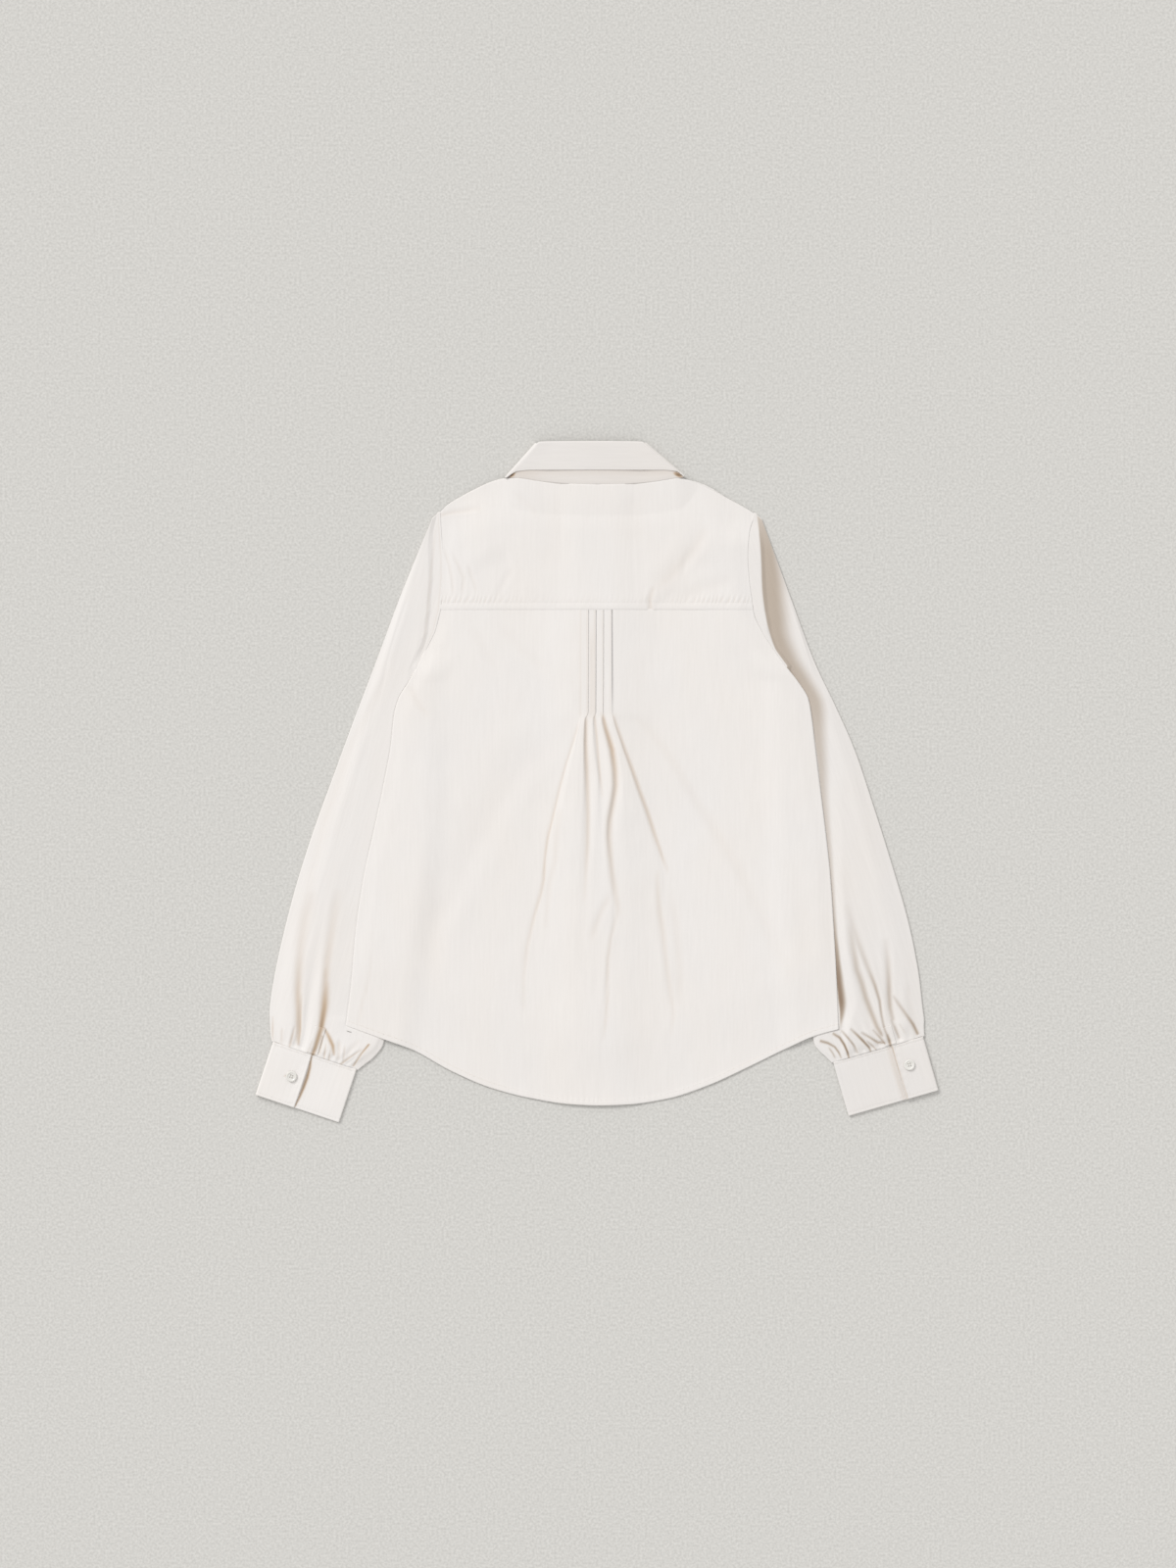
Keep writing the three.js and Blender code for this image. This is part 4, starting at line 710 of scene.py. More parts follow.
BACK_CREASES = [
    ([(592, 733), (585, 757), (577.5, 780), (571, 805), (565, 830), (559, 855), (556, 875), (555, 897),
      (552, 912), (545, 935), (538, 965), (534, 1000), (534, 1040)],
     (1.5, 1.4, 1.4, 1.8, 2.6, 3.0), 0.35, -0.2,
     (0.22, 0.24, 0.3, 0.42, 0.46, 0.3, 0.18, 0.12, 0.06)),
    ([(571, 822), (569, 845), (566, 880), (560, 905), (556, 950)], 3.2, 0.2, 0.0, (0.05, 0.1, 0.1, 0.05)),
    ([(598, 728), (597.5, 757), (598.5, 782), (599.5, 807), (600, 832), (599.5, 862), (598, 890), (596, 925)],
     (2.0, 2.6, 2.6, 2.4, 2.2), 0.3, 0.3, (0.4, 0.5, 0.48, 0.4, 0.36, 0.3, 0.14, 0.04)),
    ([(606, 727), (608.7, 750), (610.7, 775), (612.5, 795), (615.5, 816)], 1.5, 0.25, 0.0,
     (0.36, 0.4, 0.38, 0.3, 0.05)),
    ([(613.5, 724), (618.5, 745), (624.5, 765), (627.3, 785), (628, 802), (625, 820), (622, 836), (621, 854),
      (622.5, 872), (624.5, 892), (628, 912), (633, 940)],
     (2.0, 3.0, 3.4, 3.6, 3.6, 3.4, 2.4), 0.45, 0.2,
     (0.5, 0.75, 0.82, 0.62, 0.5, 0.44, 0.4, 0.38, 0.34, 0.28, 0.2, 0.04)),
    ([(632, 915), (629, 935), (623, 958), (620, 980), (619.5, 1010), (619, 1038), (614, 1066)],
     (3.0, 2.0, 2.0, 2.0), 0.3, 0.0, (0.06, 0.12, 0.2, 0.22, 0.22, 0.2, 0.03)),
    ([(623, 910), (614, 930), (608, 944), (603, 962)], 3.6, 0.3, 0.0, 0.12),
    ([(624.5, 723), (628.7, 740), (637.5, 765), (645, 785), (652.5, 807), (660, 827), (667.5, 850),
      (675, 872), (683, 894)],
     (1.5, 2.0, 2.3, 2.3, 1.6), 0.3, 0.2, (0.3, 0.42, 0.46, 0.5, 0.5, 0.52, 0.48, 0.4, 0.1)),
    ([(671, 884), (671, 905), (673, 930), (677, 955), (680, 985), (684, 1012), (687.5, 1035), (684, 1060)],
     (2.4, 3.4, 3.0, 2.0), 0.3, 0.0, (0.05, 0.2, 0.22, 0.2, 0.16, 0.14, 0.12, 0.03)),
    ([(684, 905), (690, 940), (694, 990), (694, 1030)], 4.5, 0.25, 0.0, 0.08),
    ([(640, 727), (660, 742), (680, 767), (695, 790), (710, 817), (725, 840), (740, 862), (766, 910),
      (789, 960), (813, 1007)], (4.5, 6.5, 7.5), 0.6, 0.25, (0.03, 0.06, 0.07, 0.06, 0.05, 0.03, 0.02)),
    ([(590, 740), (529, 784), (485, 862), (445, 942), (422, 1012)], 15.0, 0.7, -0.2, 0.02),
    ([(481, 640), (495, 662), (510, 690)], 5.0, 0.4, 0.0, 0.03),
    ([(508, 636), (532, 662), (562, 690)], 5.5, 0.4, 0.0, 0.03),
    ([(417, 697), (422, 709), (430, 722), (440, 734)], 3.6, 0.5, 0.2, 0.08),
    ([(448, 860), (446, 940), (440, 1020)], 12.0, 0.4, 0.0, 0.015),
    ([(380, 967), (376, 1000), (368, 1030), (364.5, 1049)], 1.5, 0.3, 0.0, (0.02, 0.08, 0.12, 0.12)),
    ([(795, 860), (812, 920), (822, 990)], 12.0, 0.4, 0.0, 0.02),
]


def body_waves(x, y):
    """Soft waves that the yoke and the panel share."""
    waves = 0.5 * smooth_noise(x, y, BODY_SEEDS[0], 120) + 0.12 * smooth_noise(x, y, BODY_SEEDS[1], 34)
    return waves * step(0, 10, inside_edge(x, y))


def yoke_form(x, y):
    """Height and painted shade of the yoke."""
    z = back_high(x, y) + 0.1
    from_seam = y - YOKE_SEAM_Y
    strength = 0.3 + 0.7 * step(70, 130, np.abs(x))
    ticks = np.cos((x - 0.35 * from_seam) / 0.86 + 1.9 * np.sin(x / 6.5) + 0.9 * np.sin(x / 2.9))
    z += 0.17 * strength * ticks * bell(from_seam - 10.5, 5.5)
    z -= 0.12 * bell(from_seam - YOKE_STITCH_UP, 1.3)
    z += 0.14 * bell(from_seam - 3.4, 2.2)
    z -= 0.16 * step(1.6, -0.6, from_seam)
    rise, painted_shade = creases(x, y, YOKE_CREASES)
    inside = step(0, 14, yoke_top_at(x) - y)
    z += rise * inside + 0.3 * smooth_noise(x, y, YOKE_SEED, 95) * step(0, 20, from_seam) * inside
    z += body_waves(x, y) * step(24, 2, from_seam)
    # Painted shade in the troughs of the puckers above the yoke's seam
    painted_shade = np.maximum(painted_shade, 0.14 * strength * bell(from_seam - 10, 3.5) * step(0, 1, -ticks))
    return z, painted_shade


def hem_detail(x, y):
    """The hem's doubled band, its puckers, its stitched line and its waves."""
    up = y - hem_at(x)
    band = 0.3 * step(7.2, 6.4, up)
    size = 0.16 + 0.16 * bell(x + 222, 26)
    puckers = size * np.cos(x * 1.08 / 0.9 + 1.2 * np.sin(x / 7.0)) * bell(up - HEM_DEEP, 3.0)
    wave = 0.2 * np.sin(x / 17 + 1.4 * np.sin(x / 61)) * step(26, 0, up)
    return band + puckers - 0.2 * bell(up - HEM_DEEP, 0.8) + wave


def panel_form(x, y):
    """Extra height and painted shade of the back panel over its plain form."""
    z, painted_shade = creases(x, y, BACK_CREASES)
    z = z * step(0, 10, inside_edge(x, y)) + body_waves(x, y)
    # Painted shade along the hem's stitched line, away from the middle
    hem_line_shade = 0.08 * bell(y - hem_at(x) - HEM_DEEP, 0.9) * step(90, 130, np.abs(x - 20))
    painted_shade = np.maximum(painted_shade, hem_line_shade)
    return z + hem_detail(x, y), painted_shade


YOKE_COLUMNS = 401


def make_yoke():
    """The yoke, with rows that run from its seam to its top."""
    seam_y = YOKE_SEAM_Y - YOKE_UNDER_SEAM
    tops = np.linspace(-TIP_X["left"], TIP_X["right"], YOKE_COLUMNS)
    shares = joined((0, 0.14, 22), (0.14, 1, 66))
    y = lerp(seam_y, yoke_top_at(tops)[None, :], shares[:, None])
    tip, limit = (np.where(tops < 0, ends["left"], ends["right"]) for ends in (TIP_X, TIP_Y))
    x = (tops / tip)[None, :] * edge_at(np.broadcast_to(tops, y.shape), np.minimum(y, limit))
    z, painted_shade = yoke_form(x, y)
    piece = new_piece("yoke_cloth", *cloth_wall(x, y, z), BODY_CLOTH, "cotton", ["back_yoke"])
    set_painted_shade(piece, painted_shade)
    return piece


# Columns between two lines of the fan: fewer at the free edge of a tuck, which is steep
FREE_COLUMNS, SOFT_COLUMNS = 5, 9


def fan_columns(levels):
    """x and rise of every column in the fan, for each level."""
    xs, rises = [], []
    lines = [[curve(list(zip(FAN_Y, values)))(levels) for values in pair] for pair in FAN]
    tucked = step(62, 74, levels)
    for index in FREE_EDGES:
        lines[index][0] = lines[index][0] + tucked
        lines[index + 1][0] = lines[index + 1][0] - 0.1 * tucked
    for index in range(len(lines) - 1):
        count = FREE_COLUMNS if index in FREE_EDGES else SOFT_COLUMNS
        (x0, r0), (x1, r1) = lines[index], lines[index + 1]
        for t in np.arange(count) / count:
            blend = lerp(step(0, 1, t), t if index in FREE_EDGES else t**0.6, tucked)
            xs.append(lerp(x0, x1, t))
            rises.append(lerp(r0, r1, blend))
    xs.append(lines[-1][0])
    rises.append(lines[-1][1])
    rises = np.array(rises).T
    kept = lerp(0.5 - 0.32 * step(30, -130, levels), 0.1, tucked) * step(182, 176, levels)
    return np.array(xs).T, rises * kept[:, None]


# Painted shade lines along the tucks' edges above the fan: their x and how dark they are
TUCK_SHADE_LINES = [(-17.3, 0.12), (-10.2, 0.14), (-2.2, 0.18), (6.3, 0.14), (14.6, 0.1)]


def tuck_shade(x, y):
    """Painted warm shade inside the tucks, most of all between the middle ones, and painted shade lines along
    their edges.
    """
    depth = step(60, 74, y) * step(183.6, 182.6, y)
    warm = 0.17 * bell(x + 5.5, 3.0) * step(178, 140, y)
    lines = sum(deep * bell(x - edge, 0.9) for edge, deep in TUCK_SHADE_LINES)
    return depth * (warm + lines)


def make_panel():
    """The back panel: the fan's columns in the middle and even ones out to both edges."""
    seam_y = YOKE_SEAM_Y + PANEL_OVER_SEAM
    lowest = min(y for _, y in HEM)
    levels = joined((seam_y, 178, 11), (178, 78, 52), (78, 30, 40), (30, -330, 108), (-330, lowest, 14))
    fan_x, fan_rise = fan_columns(levels)
    out = joined((0, 0.94, 66), (0.94, 1, 8))[1:]
    share = ((LEVEL_ROWS_END - levels) / (LEVEL_ROWS_END - lowest))[:, None]

    def place(x):
        low = lerp(LEVEL_ROWS_END, hem_at(x), share)
        return np.where(levels[:, None] >= LEVEL_ROWS_END, levels[:, None], low)

    def edge_x(side, sign):
        x = sign * EDGE[side](levels)[:, None]
        for _ in range(4):
            x = sign * EDGE[side](place(x))
        return x

    left = lerp(fan_x[:, :1], edge_x("left", -1), out[::-1][None, :])
    right = lerp(fan_x[:, -1:], edge_x("right", 1), out[None, :])
    x = np.concatenate([left, fan_x, right], axis=1)
    fade = step(0.25, 0, out)
    rise = np.concatenate([fan_rise[:, :1] * fade[::-1], fan_rise, fan_rise[:, -1:] * fade], axis=1)
    y = place(x)
    detail, painted_shade = panel_form(x, y)
    z = back_high(x, y) + rise + detail - 0.5 * step(183.4, 185.2, y)
    z = z - 0.18 * step(1.6, 0, inside_edge(x, y)) * step(120, 90, y) * step(1, -1, x)
    piece = new_piece("back_panel_cloth", *cloth_wall(x, y, z), BODY_CLOTH, "cotton", ["back_panel"])
    set_painted_shade(piece, np.maximum(painted_shade, tuck_shade(x, y)))
    return piece


# The placket's part of a front is straight; its outer part follows the body's edge down to its corner
FRONT_STRAIGHT, FRONT_TIP_X, FRONT_CORNER_Y = 34, 171, -264.0


def make_front(side):
    """One front, plain, from the placket to the armhole."""
    sign = OUTWARD[side]
    straight, tip_x, tip_y = FRONT_STRAIGHT, FRONT_TIP_X, TIP_Y[side]
    near = -PLACKET_HALF if side == "left" else PLACKET_HALF + SEAM_GAP
    tops = joined((near, straight, 24), (straight, tip_x, 76))
    corner_y = float(hem_at(sign * EDGE[side](FRONT_CORNER_Y))) + FRONT_HEM_SHORTER
    levels = joined((tip_y, UNDERARM_Y, 60), (UNDERARM_Y, corner_y, 90))

    def out_x(level):
        wide = lerp(straight, EDGE[side](level), (tops - straight) / (tip_x - straight))
        return np.where(tops <= straight, tops, wide)

    x = np.array([out_x(level) for level in levels])
    top_y = np.where(tops >= tip_x, tip_y, front_top_at(np.abs(tops)))
    end_y = hem_at(sign * out_x(corner_y)) + FRONT_HEM_SHORTER
    share = ((tip_y - levels) / (tip_y - corner_y))[:, None]
    y = lerp(top_y[None, :], end_y[None, :], share)
    x = sign * x
    lap = lap_rise(x, LAP_FROM) if side == "left" else 0
    low = front_low(x, y) + lap
    wrinkle = 0.12 * (1 + smooth_noise(x, y, FRONT_SEEDS[side], 46))
    low = low + wrinkle * step(0, 12, inside_edge(x, y)) * step(2, 20, y - hem_at(x) - FRONT_HEM_SHORTER)
    bottom = points_of(x, y, low)
    points, faces = grid_shell(bottom, bottom + [0, 0, SHEER])
    return new_piece(f"front_{side}_cloth", points, faces, BODY_CLOTH, "cotton", [f"front_{side}"])


PLACKET_ROWS = 261


def make_placket():
    """The doubled strip under the buttons."""
    x = np.linspace(-PLACKET_HALF, PLACKET_HALF, 31)[None, :].repeat(PLACKET_ROWS, axis=0)
    share = np.linspace(0, 1, PLACKET_ROWS)[:, None]
    y = lerp(front_top_at(np.abs(x)), hem_at(x) + FRONT_HEM_SHORTER, share)
    fold = 0.25 * step(1.2, 0, PLACKET_HALF - np.abs(x))
    stitched = 0.2 * bell(np.abs(x) - PLACKET_STITCH, 0.7)
    lift = placket_lift(x, y)
    z = lift + 0.05 + fold + stitched
    points, faces = grid_shell(points_of(x, y, z), points_of(x, y, lift + PLACKET_THICK))
    return new_piece("placket_band", points, faces, BODY_CLOTH, "faced_cotton", ["front_placket"])


# Sleeves

# Beside the body's right edge: height and place of the fold edge in photograph pixels, then how far the deep
# shade reaches past it, how far it takes to fade, and its strength
RIGHT_SHADE = [
    (522, 771, 3, 8, 0.5), (530, 773, 6, 10, 0.75), (545, 775, 8, 12, 0.9), (570, 777, 10, 14, 1.0),
    (600, 778, 12, 18, 1.0), (630, 782, 11, 18, 1.0), (650, 787, 8, 20, 1.0), (670, 795, 9, 18, 0.95),
    (690, 808, 9, 16, 0.9), (720, 826, 7, 14, 0.85), (750, 831, 4, 13, 0.75), (780, 835, 2, 12, 0.7),
    (820, 839, 1, 9, 0.62), (860, 844, 1, 6, 0.55), (920, 849, 1, 4, 0.6), (950, 851, 1.2, 3.5, 0.9),
    (975, 852.5, 2, 4, 1.3), (1000, 854, 2.5, 6, 1.7), (1020, 856, 2.5, 7, 1.75), (1036, 857.5, 1, 5, 1.3),
    (1048, 857.5, 0, 3, 0.4), (1056, 857.5, 0, 2, 0.0), (1100, 857.5, 0, 2, 0.0),
]


def shade_right(x, y):
    """Distance past the fold edge, reach and fade of the shade there in millimetres, and its strength."""
    photo_x, photo_y = to_photo(x, y)
    edge, core, fade, strength = (curve(RIGHT_SHADE, column)(photo_y) for column in (1, 2, 3, 4))
    return (photo_x - edge) * PHOTO_SCALE, core * PHOTO_SCALE, fade * PHOTO_SCALE, strength


# Columns of points over the sleeve's top and, after them, over its inner edge, tucked under the body
TOP_COLUMNS = 121
EDGE_COLUMNS = 37
# Share of the cuff's width that the top columns reach
TOP_SHARE = 0.79
EDGE_TUCK = 17
FOLD_ANGLES = np.radians([60, 30, 0, -30, -60])


def sleeve_start(side, a, b):
    """The first rows of a sleeve, from under the armhole over its roll to its foot."""
    sign = OUTWARD[side]
    levels = armhole_levels(side)
    last = len(levels) - 2
    seam = np.array([[sign * (float(EDGE[side](y)) + SEAM_GAP + 0.1), y] for y in levels])
    position = np.where(b > 0, last + b, a * last)
    seam_x, seam_y = (np.interp(position, range(len(levels)), seam[:, i]) for i in (0, 1))
    down = (a + b * 0.15) / 1.15
    roll_x = seam_x + sign * ROLL[side](seam_y)
    roll_y = seam_y - 2.5 * (1 - down)
    inward = sign * (np.abs(seam_x) - SEAM_GAP - 1.0)
    high, low = back_high(inward, seam_y), front_low(inward, seam_y)
    tuck = sign * EDGE_TUCK * b
    sink = 0.9 * step(0, 0.5, b)
    foot_y = roll_y - 4 * (1 - down)
    return [
        (seam_x - sign * 2.6 - tuck, seam_y, high - 0.55 - sink, low),
        (seam_x - tuck, seam_y, high - 0.14 - sink, low),
        (roll_x - tuck, roll_y, high + 0.25 - sink, 0.5 * low),
        (roll_x + sign * ROLL_FOOT_OUT - tuck, foot_y, ROLL_FOOT[side] - 0.6 * sink, 0 * a),
    ]


def sleeve_keys(side):
    """Rows from the armhole to the cuff: x, y, highest and lowest height of every column."""
    sign = OUTWARD[side]
    a = np.concatenate([np.linspace(0, 1, TOP_COLUMNS), np.ones(EDGE_COLUMNS)])
    b = np.concatenate([np.zeros(TOP_COLUMNS), np.linspace(0, 1, EDGE_COLUMNS + 1)[1:]])
    keys = sleeve_start(side, a, b)
    sections = SLEEVE_SECTIONS[side]
    outer_x, outer_y = (curve([(i, row[column]) for i, row in enumerate(sections)]) for column in (0, 1))
    for number, (_, _, ex, ey, ix, iy, high) in enumerate(sections):
        slid = number + ROW_SLIDES[number]
        ox, oy = float(outer_x(slid)), float(outer_y(slid))
        x = np.where(b > 0, lerp(sign * ex, sign * ix, b), lerp(sign * ox, sign * ex, a))
        y = np.where(b > 0, lerp(ey, iy, b), lerp(oy, ey, a))
        keys.append((x, y, np.full(a.shape, high), 0 * a))
    lap_end = CUFFS[side]["lap_end"]
    reach = CUFFS[side]["width"] * np.where(b > 0, lerp(TOP_SHARE, 1, b), a * TOP_SHARE)
    x, y = on_cuff(side, reach, CUFF_OVER)
    keys.append((x, y, lerp(4.5, 3.0, step(lap_end - 2, lap_end + 4, reach)), 0 * a))
    return np.array(keys)


def sleeve_rows(keys):
    """Close rows on smooth lines through the keys: each row's key number, its way to the cuff, its points."""
    middle = keys[:, :2, TOP_COLUMNS // 2]
    run = running(np.hypot(*np.diff(middle, axis=0).T))
    spacing = [2.9] * 8 + [1.5] * (len(run) - 12)
    counts = [2, 8, 10] + [max(3, round(gap / apart)) for gap, apart in zip(np.diff(run)[3:], spacing)]
    counts[0] += sum(counts) % 2
    order, at, rows = [], [], []
    for k, count in enumerate(counts):
        p0, p1, p2, p3 = (keys[np.clip(k + o, 0, len(keys) - 1)] for o in (-1, 0, 1, 2))
        before, after = run[max(k, 1)] - run[max(k, 1) - 1], run[k + 1] - run[k]
        far = run[min(k + 2, len(run) - 1)] - run[k]
        m1 = (p2 - p0) / max(before + after, 1e-6) * after if k > 3 else p2 - p1
        m2 = (p3 - p1) / max(far, 1e-6) * after if k > 2 else p2 - p1
        for t in np.arange(count) / count:
            first, slope, end_slope = cubic(t)
            order.append(k + t)
            at.append(lerp(run[k], run[k + 1], t))
            rows.append(first * p1 + (1 - first) * p2 + slope * m1 + end_slope * m2)
    order.append(len(keys) - 1)
    at.append(run[-1])
    rows.append(keys[-1])
    return np.array(order)[:, None], run[-1] - np.array(at)[:, None], np.array(rows)


def sleeve_drop(side, x, y, along, length, from_cuff):
    """How far the cloth sinks in its trough, its gathers, creases and waves, and the painted shade of the
    creases.
    """
    place, width, depth = SLEEVE_TROUGHS[side]
    drop = 0.45 * depth * bell(along - place, width * 1.3)
    for at, width, depth, reach, drift in GATHERS[side]:
        climb = np.clip(from_cuff / reach, 0, 1)
        centre = (at + drift * climb) * length
        drop = drop + depth * (1 - climb) ** 1.3 * bell(along - centre, width * lerp(1, 2.2, climb))
    rise, painted_shade = creases(x, y, SLEEVE_CREASES[side])
    drop = drop - rise - 0.35 * smooth_noise(x, y, SLEEVE_SEEDS[side], 60)
    return drop * (0.08 + 0.92 * step(0.2, 5, from_cuff)), painted_shade


def left_under_body(y, z, outside):
    """The highest that the left sleeve may lie, so that the body's edge covers it."""
    by_hem = step(-250, -258, y)
    rise = step(lerp(-0.7, -2.6, by_hem), lerp(0.8, 1.0, by_hem), outside)
    edge_z = SLEEVE_BY_EDGE + lerp(0.9, 1.4, by_hem) * rise
    return lerp(edge_z, np.maximum(z, edge_z), step(0, 42, outside))


def right_under_body(x, y, z, outside, order, painted_shade):
    """The same for the right sleeve, and its painted shade, with deep shade painted beside the body's edge.
    """
    past, core, fade, strength = shade_right(x, y)
    # Painted deep shade on the sleeve beside the body's edge, fading out on the rows under the armhole seam
    painted_shade = np.maximum(painted_shade, strength * step(core + fade, core, past) * step(-1.2, 0.8, past))
    painted_shade = painted_shade * np.where(order > 2, 1, step(1.2, 2.4, order))
    edge_z = SLEEVE_BY_EDGE + 0.5 * step(-1.0, 0.6, outside) * step(110, 70, y)
    return lerp(edge_z, np.maximum(z, edge_z), step(core, core + 1.6 * fade + 6, past)), painted_shade


def sleeve_surface(side):
    """The sleeve's upper points, the lowest height under each, and the painted shade."""
    order, from_cuff, rows = sleeve_rows(sleeve_keys(side))
    x, y, high, low = (rows[:, i] for i in range(4))
    low = np.clip(low, 0, np.maximum(high - 0.9, 0))
    steps = np.hypot(np.diff(x, axis=1), np.diff(y, axis=1))
    along = np.concatenate([np.zeros((len(rows), 1)), np.cumsum(steps, axis=1)], axis=1)
    length = along[:, -1:]
    free = step(3, 4, order)
    ends = np.minimum(step(-4, 26, along), step(-1.5, 14, length - along))
    drop, painted_shade = sleeve_drop(side, x, y, along, length, from_cuff)
    full = np.maximum(0.1, high - 2.0 - drop * free)
    z = lerp(high, 2.0 + full * ends, free)
    outside = np.maximum(np.abs(x) - edge_at(x, y), hem_at(x) - y)
    if side == "left":
        under_body = left_under_body(y, z, outside)
        # A thin line of painted shade along the armhole seam, high on the armhole
        painted_shade = np.maximum(painted_shade, 0.14 * bell(order - 1.0, 0.12) * step(115, 135, y))
    else:
        under_body, painted_shade = right_under_body(x, y, z, outside, order, painted_shade)
    z = np.where(order > 3, np.minimum(z, under_body), z)
    z = np.maximum(z, low + 3 * SHEER)
    return points_of(x, y, z), low, painted_shade


def away_from(top, column, neighbour):
    """The level way out of the sleeve at one of its sides, for every row."""
    way = top[:, column, :2] - top[:, neighbour, :2]
    return way / np.maximum(np.linalg.norm(way, axis=1, keepdims=True), 1e-6)


def side_fold(top, low, column, neighbour, angles):
    """Points round the folded side of the sleeve, from its top to its underside."""
    way = away_from(top, column, neighbour)
    middle, half = (top[:, column, 2] + low[:, column]) / 2, (top[:, column, 2] - low[:, column]) / 2
    points = []
    for angle in angles:
        xy = top[:, column, :2] + way * FOLD_INSET * 0.8 * math.cos(angle)
        points.append(np.column_stack([xy, middle + half * math.sin(angle)]))
    return np.stack(points, axis=1)


def make_sleeve(side):
    """A sleeve all the way round: its top, a fold at each side and its underside."""
    top, low, painted_shade = sleeve_surface(side)
    under = np.concatenate([top[..., :2], low[..., None]], axis=-1)[:, ::-4]
    folds = ((-1, -4, FOLD_ANGLES), (0, 3, FOLD_ANGLES[::-1]))
    far_side, near_side = (side_fold(top, low, *fold) for fold in folds)
    loop = np.concatenate([top, far_side, under, near_side], axis=1)
    count = top.shape[1]
    under_start = count + len(FOLD_ANGLES)
    under_end = under_start + under.shape[1]
    inner = loop.copy()
    inner[:, :count, 2] = np.maximum(lowest_near(top[..., 2]), low + 2 * SHEER) - SHEER
    inner[:, under_start:under_end, 2] += SHEER
    for start, (column, neighbour, angles) in zip((count, under_end), folds):
        way = away_from(top, column, neighbour)
        for i, angle in enumerate(angles):
            inner[:, start + i, :2] -= way * SHEER * math.cos(angle)
            inner[:, start + i, 2] -= SHEER * math.sin(angle)
    points, faces = grid_shell(loop, inner, ring=True)
    piece = new_piece(f"sleeve_{side}_cloth", points, faces, SLEEVE_CLOTH[side], "cotton", [f"sleeve_{side}"])
    set_painted_shade(piece, np.pad(painted_shade, ((0, 0), (0, loop.shape[1] - count))))
    return piece, top


